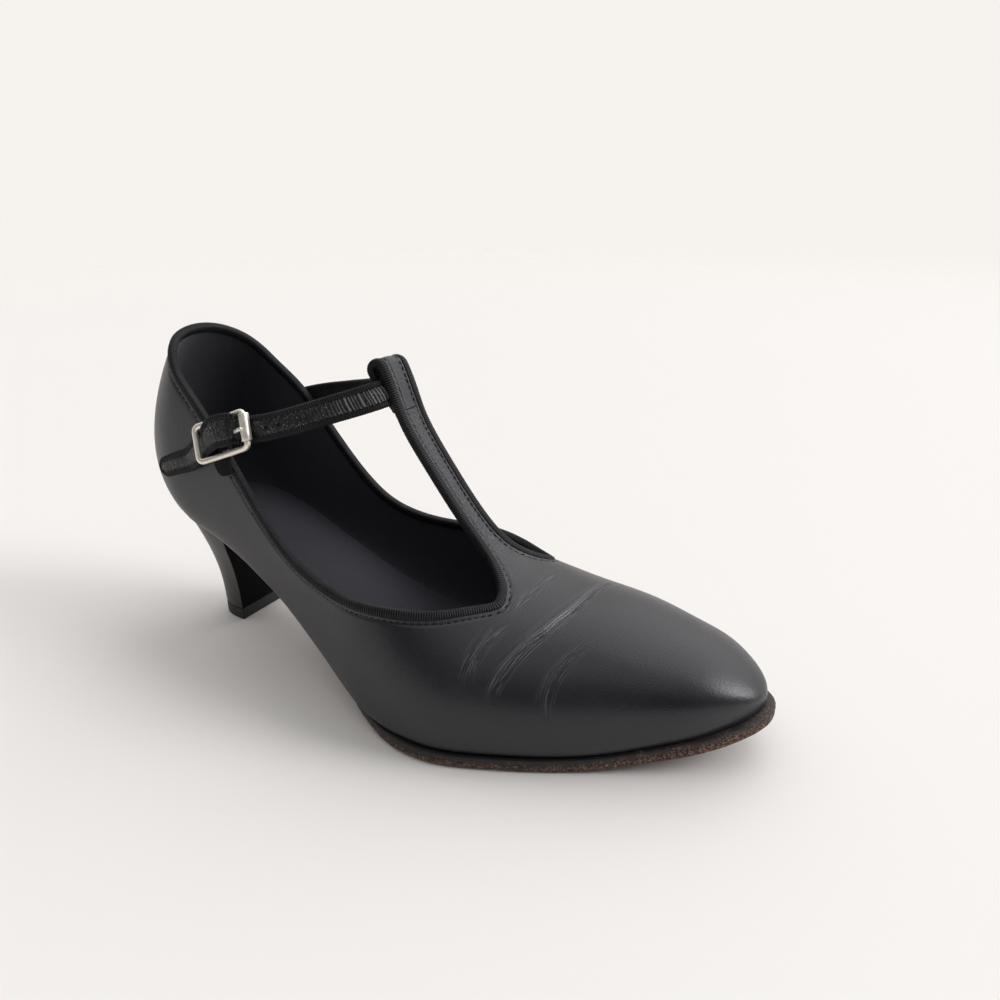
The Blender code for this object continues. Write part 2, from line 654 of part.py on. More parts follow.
# Roller: a tube turning on the front bar
profile = bpy.data.meshes.new("buckle_roller")
bore = BUCKLE_WIRE + GAP
corners = [(bore, ROLLER_HALF), (ROLLER_RADIUS, ROLLER_HALF),
           (ROLLER_RADIUS, -ROLLER_HALF), (bore, -ROLLER_HALF)]
profile.from_pydata([(r * MM, 0.0, h * MM) for r, h in corners], [(0, 1), (1, 2), (2, 3), (3, 0)], [])
roller_piece = add_object("buckle_roller", profile, METAL, SHOE)
roller_axis = unit(ACROSS + ALONG * BUCKLE_SKEW)
roller_side = np.cross(roller_axis, OFF)
axis_turn = Matrix((Vector(OFF), Vector(roller_side), Vector(roller_axis))).transposed().to_4x4()
front_bar = BUCKLE_LENGTH / 2
roller_place = to_metres(on_buckle(front_bar, 0.0, end_lift(front_bar)))
roller_piece.matrix_world = Matrix.Translation(Vector(roller_place)) @ axis_turn
spin = roller_piece.modifiers.new("spin", "SCREW")
spin.steps = ROLLER_STEPS
spin.render_steps = ROLLER_STEPS
spin.use_merge_vertices = True
spin.merge_threshold = WIRE_MERGE * MM
spin.use_normal_calculate = True
spin.use_normal_flip = True

# Prong: hooked round the middle bar, its point resting on the roller
prong_path = []
for degrees in np.linspace(*PRONG_HOOK_DEGREES, PRONG_HOOK_POINTS):
    angle = math.radians(degrees)
    prong_path.append(on_buckle(PIVOT_ALONG + PRONG_RING * math.cos(angle), 0.0,
                                PIVOT_OFF + PRONG_RING * math.sin(angle)))
rest_off = end_lift(front_bar) + ROLLER_RADIUS + GAP / 2 + PRONG_WIRE
prong_bend = prong_path[-1]
prong_rest = on_buckle(front_bar - PRONG_REST_BACK, 0.0, rest_off)
prong_path.append(prong_rest)
prong_path.append(on_buckle(front_bar + PRONG_TIP, 0.0, rest_off))
add_wire("buckle_prong", prong_path, PRONG_WIRE, METAL, SHOE)

# Ankle strap: from the inner quarter through the loop and the buckle to its free end.
# Each row is a place on its middle line and the direction its outer face looks there.
strap_path = [
    (np.array([33.0, 27.3, 79.0]), np.array([-0.05, 0.97, 0.20])),
    (np.array([48.0, 27.6, 83.2]), np.array([0.08, 0.96, 0.22])),
    (np.array([66.0, 24.5, 87.2]), np.array([0.28, 0.92, 0.25])),
    (np.array([87.0, 16.0, 92.3]), np.array([0.50, 0.80, 0.30])),
    (tunnel + np.array([-0.6, 8.0, -0.4]), unit(loop_off + np.array([0.0, 0.25, 0.0]))),
    (tunnel, loop_off),
    (tunnel + np.array([-0.6, -8.0, -0.4]), unit(loop_off + np.array([0.0, -0.25, 0.0]))),
    (np.array([87.0, -16.6, 91.5]), np.array([0.45, -0.80, 0.35])),
    (on_buckle(16.7, -1.2, -1.6), OFF),
    (on_buckle(front_bar, -0.3, end_lift(front_bar) - ROLLER_RADIUS - GAP - STRAP_HALF_THICK), OFF),
    (on_buckle(8.55, -0.2, -1.4), OFF),
    (on_buckle(7.8, -0.15, 0.2), OFF),
    (on_buckle(6.55, -0.1, 2.6), OFF),
    (on_buckle(2.8, 0.3, 2.9), OFF),
    (on_buckle(PIVOT_ALONG, 0.6, STRAP_OVER_BAR), OFF),
    (on_buckle(-5.6, 0.4, 1.2), OFF),
    (on_buckle(-8.4, 0.2, -0.7), OFF),
    (on_buckle(-front_bar, 0.0, end_lift(front_bar) - BUCKLE_WIRE - 2 * GAP - STRAP_HALF_THICK), OFF),
    (np.array([40.3, -26.6, 74.0]), np.array([-0.05, -0.99, 0.10])),
    (np.array([35.0, -25.4, 70.6]), np.array([-0.03, -1.00, 0.05])),
    (np.array([27.2, -25.4, 67.7]), np.array([-0.03, -1.00, 0.03])),
    (np.array([22.4, -25.2, 65.8]), np.array([-0.12, -0.99, 0.00])),
    (np.array([18.0, -24.6, 64.1]), np.array([-0.30, -0.95, -0.05])),
]
strap_places = np.array([row[0] for row in strap_path])
strap_faces = np.array([row[1] for row in strap_path])
strap_run = np.concatenate([[0], np.cumsum(np.linalg.norm(np.diff(strap_places, axis=0), axis=1))])
strap_names = ("run", "x", "y", "z", "face_x", "face_y", "face_z")
strap_table = np.column_stack([strap_run, strap_places, strap_faces])


def strap_at(run, names):
    return np.array([smooth(strap_table, strap_names, name, run) for name in names])


strap = Surface()
strap_rings = []
strap_end = strap_run[-1]
tip_angles = np.radians(STRAP_TIP_DEGREES)
under_roller = strap_run[STRAP_ROLLER_ROW] - STRAP_BUCKLE_REACH
past_buckle = strap_run[STRAP_REAR_ROW] + STRAP_BUCKLE_REACH
strap_steps = np.concatenate([np.arange(0, under_roller, STRAP_STEP),
                              np.arange(under_roller, past_buckle, STRAP_BUCKLE_STEP),
                              np.arange(past_buckle, strap_end - STRAP_TIP, STRAP_STEP),
                              strap_end - STRAP_TIP * (1 - np.sin([0.0, *tip_angles]))])
axis_names = ("x", "y", "z")
for run in strap_steps:
    place = strap_at(run, axis_names)
    run_dir = unit(strap_at(run + STRAP_NUDGE, axis_names) - strap_at(run - STRAP_NUDGE, axis_names))
    face = strap_at(run, ("face_x", "face_y", "face_z"))
    face = unit(face - run_dir * float(face @ run_dir))
    wide = np.cross(face, run_dir)
    tail = max(0.0, run - strap_run[STRAP_REAR_ROW]) / (strap_end - strap_run[STRAP_REAR_ROW])
    half = (STRAP_HALF_WIDTH - STRAP_TAPER * tail) * float(end_round(1 - (strap_end - run) / STRAP_TIP))
    inner_half = max(half - STRAP_CORNER, STRAP_TIP_WIDTH)
    inner_thick = STRAP_HALF_THICK - STRAP_CORNER
    outline = [(half, inner_thick), (inner_half, STRAP_HALF_THICK), (-inner_half, STRAP_HALF_THICK),
               (-half, inner_thick), (-half, -inner_thick), (-inner_half, -STRAP_HALF_THICK),
               (inner_half, -STRAP_HALF_THICK), (half, -inner_thick)]
    strap_rings.append([place + wide * w + face * f for w, f in outline])
strap.loft(strap_rings)
strap_piece = add_surface("ankle_strap", strap, STRAP)
hole_path = [prong_bend + (prong_rest - prong_bend) * share for share in HOLE_REACH]
add_boolean(strap_piece, add_wire("prong_hole", hole_path, PRONG_HOLE, STRAP, CUTTERS), "DIFFERENCE")

# Buckle tab: along the outer quarter, two arms folded over the middle bar beside the prong
tab_off = PIVOT_OFF - PIVOT_WIRE - GAP
tab_path = [(-TAB_LENGTH, tab_off - TAB_DROP), (-TAB_LENGTH * TAB_MIDDLE, tab_off - TAB_DROP / 2),
            (PIVOT_ALONG - TAB_ARM, tab_off), (PIVOT_ALONG - TAB_FLAP_EDGE, tab_off)]
slot_start = len(tab_path) - 2
tab_bend = PIVOT_WIRE + GAP
for angle in np.linspace(-QUARTER_TURN, QUARTER_TURN, TAB_BEND_STEPS + 1):
    tab_path.append((PIVOT_ALONG + tab_bend * math.cos(angle), PIVOT_OFF + tab_bend * math.sin(angle)))
tab_path.append((PIVOT_ALONG - TAB_ARM / 4, PIVOT_OFF + tab_bend))
tab = Surface()
tab_rows = []
for k, (along, off) in enumerate(tab_path):
    low = TAB_LOWS[k] if k < len(TAB_LOWS) else -TAB_HALF_WIDTH
    tab_rows.append([on_buckle(along, across, off) for across in (low, -TAB_SLOT, TAB_SLOT, TAB_HALF_WIDTH)])
tab.grid(tab_rows, keep=lambda i, j: j != 1 or i < slot_start)
tab_piece = add_surface("buckle_tab", tab, STRAP, closed=False)
add_wall(tab_piece, TAB_THICK)
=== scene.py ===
"""Latin dance shoe for the right foot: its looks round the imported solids, in their own frame, in metres."""

import json
import math

import bmesh
import bpy
import numpy as np
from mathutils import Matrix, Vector, noise
from mathutils.bvhtree import BVHTree
from mathutils.kdtree import KDTree

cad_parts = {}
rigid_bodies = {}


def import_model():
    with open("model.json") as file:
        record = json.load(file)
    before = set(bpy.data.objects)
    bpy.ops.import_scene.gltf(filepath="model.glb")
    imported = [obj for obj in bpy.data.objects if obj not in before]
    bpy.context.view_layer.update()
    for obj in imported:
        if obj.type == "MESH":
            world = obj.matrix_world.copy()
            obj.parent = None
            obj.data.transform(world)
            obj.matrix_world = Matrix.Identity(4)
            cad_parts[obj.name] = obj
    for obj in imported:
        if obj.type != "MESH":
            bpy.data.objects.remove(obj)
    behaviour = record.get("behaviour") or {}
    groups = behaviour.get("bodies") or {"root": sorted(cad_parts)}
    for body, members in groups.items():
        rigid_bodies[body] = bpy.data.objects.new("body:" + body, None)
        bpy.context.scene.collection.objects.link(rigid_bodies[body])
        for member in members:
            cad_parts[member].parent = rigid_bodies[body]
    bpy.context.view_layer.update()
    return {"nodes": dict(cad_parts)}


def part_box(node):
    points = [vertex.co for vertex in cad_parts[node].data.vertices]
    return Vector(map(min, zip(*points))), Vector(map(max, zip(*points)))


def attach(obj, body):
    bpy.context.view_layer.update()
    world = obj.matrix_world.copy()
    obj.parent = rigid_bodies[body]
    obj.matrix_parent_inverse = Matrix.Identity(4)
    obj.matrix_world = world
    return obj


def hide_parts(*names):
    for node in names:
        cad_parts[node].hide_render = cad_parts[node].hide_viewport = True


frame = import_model()

# Room: a plain pale floor under a soft white studio sky. The sky carries all the light, so that the floor is
# even. What is seen past the floor is the plain backdrop all round, and the floor fades into it.
# The camera stands at the photograph's place.
FLOOR_SIZE = 8.0
FLOOR_DROP = 0.0001
FLOOR_COLOUR = (0.83, 0.806, 0.773, 1.0)
FLOOR_ROUGHNESS = 0.6
FLOOR_FADE = (0.7, 2.6)
BACKDROP = (0.925, 0.89, 0.85, 1.0)
DIM_ROOM = (0.14, 0.14, 0.149, 1.0)
# Each row: a side of the sky, how far round it the light spreads, and its colour. They are the backdrop, the
# ceiling, a broad bright side high on the right, a soft window beside the toe, and the ground.
SKY = (
    ((-0.489, 0.872, 0.0), (-0.30, 0.50), BACKDROP),
    ((0.0, 0.0, 1.0), (0.45, 0.95), (0.85, 0.85, 0.86, 1.0)),
    ((0.227, 0.602, 0.766), (0.80, 0.95), (1.95, 1.93, 1.95, 1.0)),
    ((0.80, 0.32, 0.505), (0.955, 0.99), (10.0, 10.0, 10.3, 1.0)),
    ((0.0, 0.0, -1.0), (0.0, 0.03), BACKDROP),
)
CAMERA_PLACE = (0.13377, -0.1842, 0.1533)
CAMERA_PITCH = 21.77
CAMERA_TURN = 29.28
CAMERA_LENS = 27.26
CAMERA_SENSOR = 36.0
CAMERA_NEAR = 0.005


def set_inputs(tree, node, inputs):
    """Sets a node's inputs, and links those that are given as another node's output."""
    for name, value in inputs.items():
        if isinstance(value, bpy.types.NodeSocket):
            tree.links.new(value, node.inputs[name])
        else:
            node.inputs[name].default_value = value
    return node


def add_node(tree, kind, inputs, **settings):
    """A node with its settings made and its inputs set or linked."""
    made = tree.nodes.new(kind)
    for name, value in settings.items():
        setattr(made, name, value)
    return set_inputs(tree, made, inputs)


def new_material(name):
    """A new material, its node tree, its shader and the place on the object."""
    made = bpy.data.materials.new(name)
    made.use_nodes = True
    tree = made.node_tree
    place = add_node(tree, "ShaderNodeTexCoord", {}).outputs["Object"]
    return made, tree, tree.nodes["Principled BSDF"], place


def mix_colours(tree, share, first, second):
    """A colour between two, by a share."""
    return add_node(tree, "ShaderNodeMix", {0: share, 6: first, 7: second}, data_type="RGBA").outputs[2]


def map_range(tree, value, low, high, to_low=0.0, to_high=1.0, kind="LINEAR"):
    """A value moved from one range to another."""
    ranges = {"Value": value, "From Min": low, "From Max": high, "To Min": to_low, "To Max": to_high}
    return add_node(tree, "ShaderNodeMapRange", ranges, interpolation_type=kind).outputs["Result"]


def add_object(name, data):
    """A new object in the scene."""
    made = bpy.data.objects.new(name, data)
    bpy.context.scene.collection.objects.link(made)
    return made


bpy.context.scene.view_settings.view_transform = "Standard"
bpy.ops.object.select_all(action="DESELECT")
bpy.ops.mesh.primitive_plane_add(size=FLOOR_SIZE, location=(0.0, 0.0, -FLOOR_DROP))
floor = bpy.context.active_object
floor.name = "floor"
floor_paint, floor_tree, floor_shader, floor_place = new_material("floor_paint")
floor_reach = add_node(floor_tree, "ShaderNodeVectorMath", {0: floor_place}, operation="LENGTH")
floor_fade = map_range(floor_tree, floor_reach.outputs["Value"], *FLOOR_FADE, 1.0, 0.0, kind="SMOOTHSTEP")
set_inputs(floor_tree, floor_shader, {"Base Color": FLOOR_COLOUR, "Roughness": FLOOR_ROUGHNESS,
                                      "Alpha": floor_fade})
floor.data.materials.append(floor_paint)

sky = bpy.data.worlds.new("studio_sky")
bpy.context.scene.world = sky
sky.use_nodes = True
sky_tree = sky.node_tree
sky_direction = add_node(sky_tree, "ShaderNodeTexCoord", {}).outputs["Generated"]
sky_colour = DIM_ROOM
for sky_side, sky_spread, colour in SKY:
    facing = add_node(sky_tree, "ShaderNodeVectorMath", {0: sky_direction, 1: sky_side},
                      operation="DOT_PRODUCT")
    share = map_range(sky_tree, facing.outputs["Value"], *sky_spread, kind="SMOOTHSTEP")
    sky_colour = mix_colours(sky_tree, share, sky_colour, colour)
seen_plain = add_node(sky_tree, "ShaderNodeLightPath", {}).outputs["Is Camera Ray"]
sky_colour = mix_colours(sky_tree, seen_plain, sky_colour, BACKDROP)
set_inputs(sky_tree, sky_tree.nodes["Background"], {"Color": sky_colour})

camera_data = bpy.data.cameras.new("camera")
camera_data.lens = CAMERA_LENS
camera_data.sensor_width = CAMERA_SENSOR
camera_data.clip_start = CAMERA_NEAR
camera = add_object("camera", camera_data)
camera.location = CAMERA_PLACE
camera.rotation_euler = (math.radians(90.0 - CAMERA_PITCH), 0.0, math.radians(CAMERA_TURN))
bpy.context.scene.camera = camera

# Insole: a firm board in the shape of the foot, covered with a dark cloth sock that is glued on
# and turned down along its edge, where it meets the lining.
MM = 0.001
MERGE = 0.01 * MM
QUAD_BEND = math.radians(70)
QUAD_SHAPE = math.radians(120)
SHARP_EDGE = math.radians(50)
INSOLE_CUTS = 11
INSOLE_EDGE = 0.6 * MM
LINING_COLOURS = ((0.010, 0.0105, 0.016, 1.0), (0.019, 0.020, 0.030, 1.0))
LINING_THREAD = 0.45 * MM
CLOTH_ROUGHNESS = 0.8


def select_only(piece):
    bpy.ops.object.select_all(action="DESELECT")
    bpy.context.view_layer.objects.active = piece
    piece.select_set(True)


def start_edit(piece):
    """Edit mode on one piece alone, all of it selected."""
    select_only(piece)
    bpy.ops.object.mode_set(mode="EDIT")
    bpy.ops.mesh.select_all(action="SELECT")


def end_edit():
    bpy.ops.object.mode_set(mode="OBJECT")


def copy_node(node_name, piece_name):
    """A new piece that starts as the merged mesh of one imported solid, in quads."""
    piece = add_object(piece_name, frame["nodes"][node_name].data.copy())
    piece.data.materials.clear()
    start_edit(piece)
    bpy.ops.mesh.remove_doubles(threshold=MERGE)
    bpy.ops.mesh.tris_convert_to_quads(face_threshold=QUAD_BEND, shape_threshold=QUAD_SHAPE)
    bpy.ops.mesh.customdata_custom_splitnormals_clear()
    end_edit()
    return piece


def round_off(piece, edge, levels):
    """Bevels the sharp edges if an edge size is given, then rounds the whole by subdivision."""
    if edge:
        bevel = piece.modifiers.new("edges", "BEVEL")
        bevel.width = edge
        bevel.segments = 2
        bevel.limit_method = "ANGLE"
        bevel.angle_limit = SHARP_EDGE
    rounding = piece.modifiers.new("rounding", "SUBSURF")
    rounding.levels = levels
    rounding.render_levels = levels
    select_only(piece)
    for modifier in list(piece.modifiers):
        bpy.ops.object.modifier_apply(modifier=modifier.name)


def add_piece(piece, materials, slot, *nodes):
    """Dresses a finished piece, shades it smooth and places it on the shoe for the solids it stands for."""
    for material in materials:
        piece.data.materials.append(material)
    piece.data.shade_smooth()
    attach(piece, "root")
    if nodes:
        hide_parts(*nodes)


def math_node(tree, operation, first, second):
    """One sum, product or the like of two values."""
    return add_node(tree, "ShaderNodeMath", {0: first, 1: second}, operation=operation).outputs["Value"]


def uneven(tree, place, scale, detail, roughness=0.5):
    """An uneven pattern from 0 to 1."""
    inputs = {"Vector": place, "Scale": scale, "Detail": detail, "Roughness": roughness}
    return add_node(tree, "ShaderNodeTexNoise", inputs).outputs["Fac"]


def relief(tree, strength, distance, height):
    """The way a surface faces under a small relief."""
    inputs = {"Strength": strength, "Distance": distance, "Height": height}
    return add_node(tree, "ShaderNodeBump", inputs).outputs["Normal"]


def cloth_material(name, colours, thread, gleam=0.5, sheen=0.15):
    """A matt woven cloth: thread is the size of its weave in metres."""
    made, tree, shader, place = new_material(name)
    cells = {"Vector": place, "Scale": 1.0 / thread}
    weave = add_node(tree, "ShaderNodeTexVoronoi", cells, distance="CHEBYCHEV")
    fibre = uneven(tree, place, 0.12 / thread, 5.0)
    height = math_node(tree, "ADD", weave.outputs["Distance"], fibre)
    set_inputs(tree, shader, {"Base Color": mix_colours(tree, fibre, *colours), "Roughness": CLOTH_ROUGHNESS,
                              "Specular IOR Level": gleam, "Sheen Weight": sheen,
                              "Normal": relief(tree, 0.5, thread * 0.3, height)})
    return made


insole = copy_node("insole", "insole_sock")
insole_low, insole_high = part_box("insole")
start_edit(insole)
for cut in np.linspace(insole_low.y, insole_high.y, INSOLE_CUTS + 2)[1:-1]:
    bpy.ops.mesh.select_all(action="SELECT")
    bpy.ops.mesh.bisect(plane_co=(0.0, cut, 0.0), plane_no=(0.0, 1.0, 0.0))
end_edit()
round_off(insole, INSOLE_EDGE, 1)
lining_cloth = cloth_material("dark_lining_cloth", LINING_COLOURS, LINING_THREAD)
add_piece(insole, [lining_cloth], "dark_lining", "insole")

# Upper: one hollow shell of smooth black leather over the whole foot, lined with dark cloth, turned in
# under the sole and folded at the top of its T-strap into a loop for the ankle strap. Wear has creased
# it across the toes, and a row of stitches presses a groove beside its bound edge.
BACK_OF_HEEL = np.array([-0.11293, 0.003, 0.0])
LEATHER_FACES = 0
LINING_FACES = 1
EDGE_FACES = 2
VAMP_TOP = (190.0, 5.0, 50.0)
VAMP_INSIDE = (185.0, 5.0, 25.0)
TOP_EDGE_LOW = 37.0
HEEL_EDGE = (50.0, 60.0)
# The bound edge starts in the loop near this place, and the tape keeps clear of both its ends, in metres.
LOOP_END = (-0.053, 0.0034)
EDGE_TRIM = 0.0180
# The loop's hidden return leg is narrowed and laid against the T-strap's back: how far off the loop's middle
# it lies, then its rise, the share of its width and the step forward there, in millimetres.
LOOP_MIDDLE = np.array([104.5, 0.44, 102.5])
LOOP_UP = np.array([-0.421, 0.0, 0.907])
LOOP_FACING = np.array([0.907, 0.0, 0.421])
LOOP_HALF = 9.0
LOOP_BACK = (-5.8, -2.45)
LOOP_BACK_LOW = -25.0
LOOP_BACK_RISE = (-23.0, -16.3, -11.0, -5.8, 2.0)
LOOP_BACK_WIDTH = (0.46, 0.50, 0.58, 0.80, 1.0)
LOOP_BACK_FORWARD = (1.9, 0.95, 0.9, 0.0, 0.0)
LOOP_SEAM = -11.5
# The stitches' groove and the puckered ridge above it, in millimetres from the bound edge
EDGE_STEP = 0.25
EDGE_BAND = 4.8
STITCH_PITCH = 2.0
STITCH_LINE = 3.1
GROOVE_DEPTH = 0.36
GROOVE_HALF = 0.36
RIDGE_LINE = 2.55
RIDGE_HALF = 0.32
RIDGE_HEIGHT = 0.26
RIDGE_FLAT = 0.35
# Painted highlight: the ridge's crest is tinted pale by this share.
RIDGE_HIGHLIGHT = 0.9
# Creases: places in millimetres from the back of the heel, then the trough's half width and depth and the
# height of the roll of leather that stands behind it.
TOE_CREASE = ((172, 22, 36.5), (171.7, 17.2, 38.5), (170.7, 7.9, 39.8), (169.8, -2.2, 39.6),
              (168, -10.3, 38.5), (166.1, -16.4, 37.1), (163.9, -21.4, 35.5), (162.2, -26.1, 33.3),
              (160.5, -30, 30.8), (159.3, -33.1, 27.9), (158.9, -35.1, 25.1), (159.8, -36.2, 22.1))
TOE_ROLL = 0.16
CREASES = (
    (TOE_CREASE, 0.60, 0.36, TOE_ROLL),
    (((169.0, 12, 40), (167.6, 0, 40.4), (165.6, -9, 39.6), (163.4, -17, 37.7), (161.0, -23.5, 35.6),
      (158.6, -29, 32.6), (157.2, -32.5, 29.8)), 0.45, 0.14, 0.06),
    (((175.6, -17.6, 34.1), (174.4, -20.4, 32.7), (173.1, -23.4, 31), (172, -26.1, 29), (171.4, -28.5, 26.6),
      (170.8, -30.3, 24.2), (170.5, -31.4, 21.9)), 0.48, 0.17, 0.08),
    (((175.6, -20.9, 32), (174.3, -23.9, 30.1), (173.6, -26.3, 28), (173.2, -28.3, 25.5),
      (173.1, -29.9, 22.8), (173.2, -30.6, 20.7)), 0.42, 0.13, 0.06),
    (((153.8, -23.3, 38.5), (153.2, -26.2, 37.2), (152.6, -29.7, 35), (152.1, -32.3, 33),
      (151.5, -34.6, 30.8)), 0.48, 0.15, 0.08),
    (((151.4, -24.3, 39), (150.7, -27.7, 37.3), (150.1, -31.1, 35), (149.8, -33.9, 32.5),
      (149.6, -36.3, 29.9)), 0.45, 0.12, 0.06),
)
CREASE_STEP = 0.4
CREASE_BAND = 3.0
CREASE_FADE = 0.6
# Painted highlight on the rolls behind the creases: the most of it.
CREASE_HIGHLIGHT = 0.55
ROLL_BEHIND = 2.0
ROLL_SPREAD = 1.4
FINE_LEATHER = 0.5
# Fine strands that lie along the creases: the middle line of each bundle, its half width at both ends and
# how strong it is.
STRANDS = (
    (TOE_CREASE, 1.7, 3.0, 1.5),
    (((157.0, -19.5, 39.6), (154.4, -24.5, 38.0), (152.8, -28.5, 35.8), (151.8, -32, 33.2),
      (151.2, -35.4, 29.8), (151.6, -37.6, 25.5)), 2.2, 2.8, 1.25),
    (((178.4, -11, 36.0), (176.6, -16.5, 34.4), (175, -21, 32.2), (173.6, -25.2, 29.4), (173.1, -28.4, 25.8),
      (173.4, -30.4, 22.2), (174.2, -31.4, 18.5)), 2.0, 2.6, 1.15),
    (((157.2, 13, 42.2), (157.2, 3, 43.2), (156.0, -5.4, 42.9), (155.0, -12.5, 41.9), (154.2, -19.5, 39.8)),
     3.2, 2.6, 1.0),
)
STRAND_BAND = 3.1
STRAND_BORDER = 1.0
STRAND_MESH = 0.37
STRAND_ROUNDS = 3
STRAND_FADE = 7.0
STRAND_PITCH = 0.80
STRAND_ALONG = 9.0
STRAND_WANDER = 0.7
STRAND_WANDER_ACROSS = 0.35
STRAND_BREAK = (-0.30, 0.08)
STRAND_BREAK_ACROSS = 0.9
STRAND_BREAK_ALONG = 1.9
STRAND_BREAK_APART = 3.1
STRAND_APART = 7.3
CREST_POWER = 1.5
STRAND_DEPTH = 0.19
STRAND_RISE = 0.07
STRAND_FAINT = 0.02
# Painted highlight: the strands' crests are tinted towards this pale grey, by this share.
STRAND_HIGHLIGHT = (0.120, 0.120, 0.126, 1.0)
STRAND_HIGHLIGHT_SHARE = 0.5
# The T-strap's grain comes up over a rise, in front of a place, and is fainter on the loop.
GRAIN_RISE = (44.0, 54.0)
GRAIN_FROM = 98.0
GRAIN_ON_LOOP = 0.35
GRAIN_HEIGHT = 3.0
# Painted highlight: the coarse pebbles are tinted paler by this share.
GRAIN_HIGHLIGHT = 0.65
HIDE_PATCHES = (42.0, 6.0, 0.6)
HIDE_RANGE = (0.3, 0.7)
LEATHER_COLOURS = ((0.0075, 0.0078, 0.0112, 1.0), (0.0135, 0.0138, 0.0185, 1.0))
LEATHER_HIGHLIGHT = (0.075, 0.075, 0.079, 1.0)
LEATHER_ROUGHNESS = 0.37
LEATHER_GRAIN = 0.5 * MM
LEATHER_DEPTH = 0.05 * MM
GLOSS_SPREAD = (0.05, 0.06)
TOE_POLISH = (0.05, 0.105)
POLISH_GLOSS = 0.05


def metres(points):
    """Places in the shoe's own millimetres, from the back of the heel on its middle line, in metres."""
    return np.asarray(points, dtype=float) * MM + BACK_OF_HEEL


def unit(vectors):
    return vectors / np.linalg.norm(vectors, axis=-1, keepdims=True)


def square_to(vectors, way):
    """What is left of vectors at right angles to a way."""
    return vectors - way * np.sum(vectors * way, axis=1, keepdims=True)


def bell(off, half, power=2):
    """A smooth hump that is 1 in its middle and falls off over its half width."""
    return np.exp(-(off / half) ** power)


def share_between(value, low, high):
    """How far a value has come from low to high, from 0 to 1."""
    return np.clip((value - low) / (high - low), 0.0, 1.0)


def run_along(points):
    """Distance of each point along its path."""
    return np.concatenate([[0.0], np.cumsum(np.linalg.norm(np.diff(points, axis=0), axis=1))])


def smooth_between(runs, values, at):
    """Values at the given runs on the smooth curve through the values known at runs."""
    steps = np.diff(runs)[:, None]
    slopes = np.diff(values, axis=0) / steps
    middle = (slopes[:-1] * steps[1:] + slopes[1:] * steps[:-1]) / (steps[:-1] + steps[1:])
    tangents = np.concatenate([slopes[:1], middle, slopes[-1:]])
    i = np.clip(np.searchsorted(runs, at) - 1, 0, len(steps) - 1)
    u = ((at - runs[i]) / steps[i, 0])[:, None]
    start = values[i] * (1 + 2 * u) * (1 - u) ** 2 + tangents[i] * steps[i] * u * (1 - u) ** 2
    end = values[i + 1] * u * u * (3 - 2 * u) + tangents[i + 1] * steps[i] * u * u * (u - 1)
    return start + end


def fine_path(points, step):
    """A smooth path through points, in even steps."""
    runs = run_along(points)
    return smooth_between(runs, points, np.linspace(0.0, runs[-1], max(3, int(runs[-1] / step))))


def vertex_array(mesh, name):
    values = np.empty(len(mesh.vertices) * 3)
    mesh.vertices.foreach_get(name, values)
    return values.reshape(-1, 3)


def store(piece, name, values):
    """Keeps one number at each vertex, for a material to read."""
    values = np.asarray(values, dtype=np.float32).ravel()
    piece.data.attributes.new(name, "FLOAT", "POINT").data.foreach_set("value", values)


def on_top_edge(edge):
    """Whether an edge is on the upper's open top edge rather than on its turned-in margin."""
    middle = ((edge.verts[0].co + edge.verts[1].co) / 2 - Vector(BACK_OF_HEEL)) / MM
    return middle.z > TOP_EDGE_LOW and (middle.x > HEEL_EDGE[0] or middle.z > HEEL_EDGE[1])


def mark_patch(piece, near, index):
    """Gives one side of a wall its material, from the face nearest a place out to the marked seams."""
    bpy.ops.mesh.select_mode(type="FACE")
    bpy.ops.mesh.select_all(action="DESELECT")
    work = bmesh.from_edit_mesh(piece.data)
    min(work.faces, key=lambda face: (face.calc_center_median() - near).length).select = True
    work.select_flush(True)
    bmesh.update_edit_mesh(piece.data)
    bpy.ops.mesh.select_linked(delimit={"SEAM"})
    for face in bmesh.from_edit_mesh(piece.data).faces:
        if face.select:
            face.material_index = index
    bmesh.update_edit_mesh(piece.data)


def chain(edges):
    """The vertices of a run of edges, in order."""
    at_vertex = {}
    for edge in edges:
        for vert in edge.verts:
            at_vertex.setdefault(vert, []).append(edge)
    ends = [vert for vert, found in at_vertex.items() if len(found) == 1]
    vert = ends[0] if ends else edges[0].verts[0]
    ordered = [vert]
    used = set()
    while True:
        onward = [edge for edge in at_vertex[vert] if edge not in used]
        if not onward:
            return ordered
        used.add(onward[0])
        vert = onward[0].other_vert(vert)
        ordered.append(vert)


def tree_of(points):
    tree = KDTree(len(points))
    for k, point in enumerate(points):
        tree.insert(point, k)
    tree.balance()
    return tree


def select_near(piece, tree, reach, longest):
    """Selects the leather faces near the points of a tree whose edges are still longer than asked."""
    bpy.ops.mesh.select_mode(type="FACE")
    bpy.ops.mesh.select_all(action="DESELECT")
    work = bmesh.from_edit_mesh(piece.data)
    for face in work.faces:
        if face.material_index == LEATHER_FACES and max(edge.calc_length() for edge in face.edges) > longest:
            face.select = tree.find(face.calc_center_median())[2] < reach
    work.select_flush(True)
    bmesh.update_edit_mesh(piece.data)


def beside(line, points):
    """For each point, how far it lies in front of a line of close places, and the share along the line."""
    distance = np.full(len(points), np.inf)
    share = np.zeros(len(points))
    ahead = np.zeros(len(points))
    for k, spot in enumerate(line):
        away = points - spot
        far = np.linalg.norm(away, axis=1)
        closer = far < distance
        distance[closer] = far[closer]
        share[closer] = k / (len(line) - 1)
        ahead[closer] = np.sign(away[closer, 0])
    return distance * ahead, share


def attribute(tree, name):
    """A number kept at the piece's vertices."""
    return add_node(tree, "ShaderNodeAttribute", {}, attribute_name=name).outputs["Fac"]


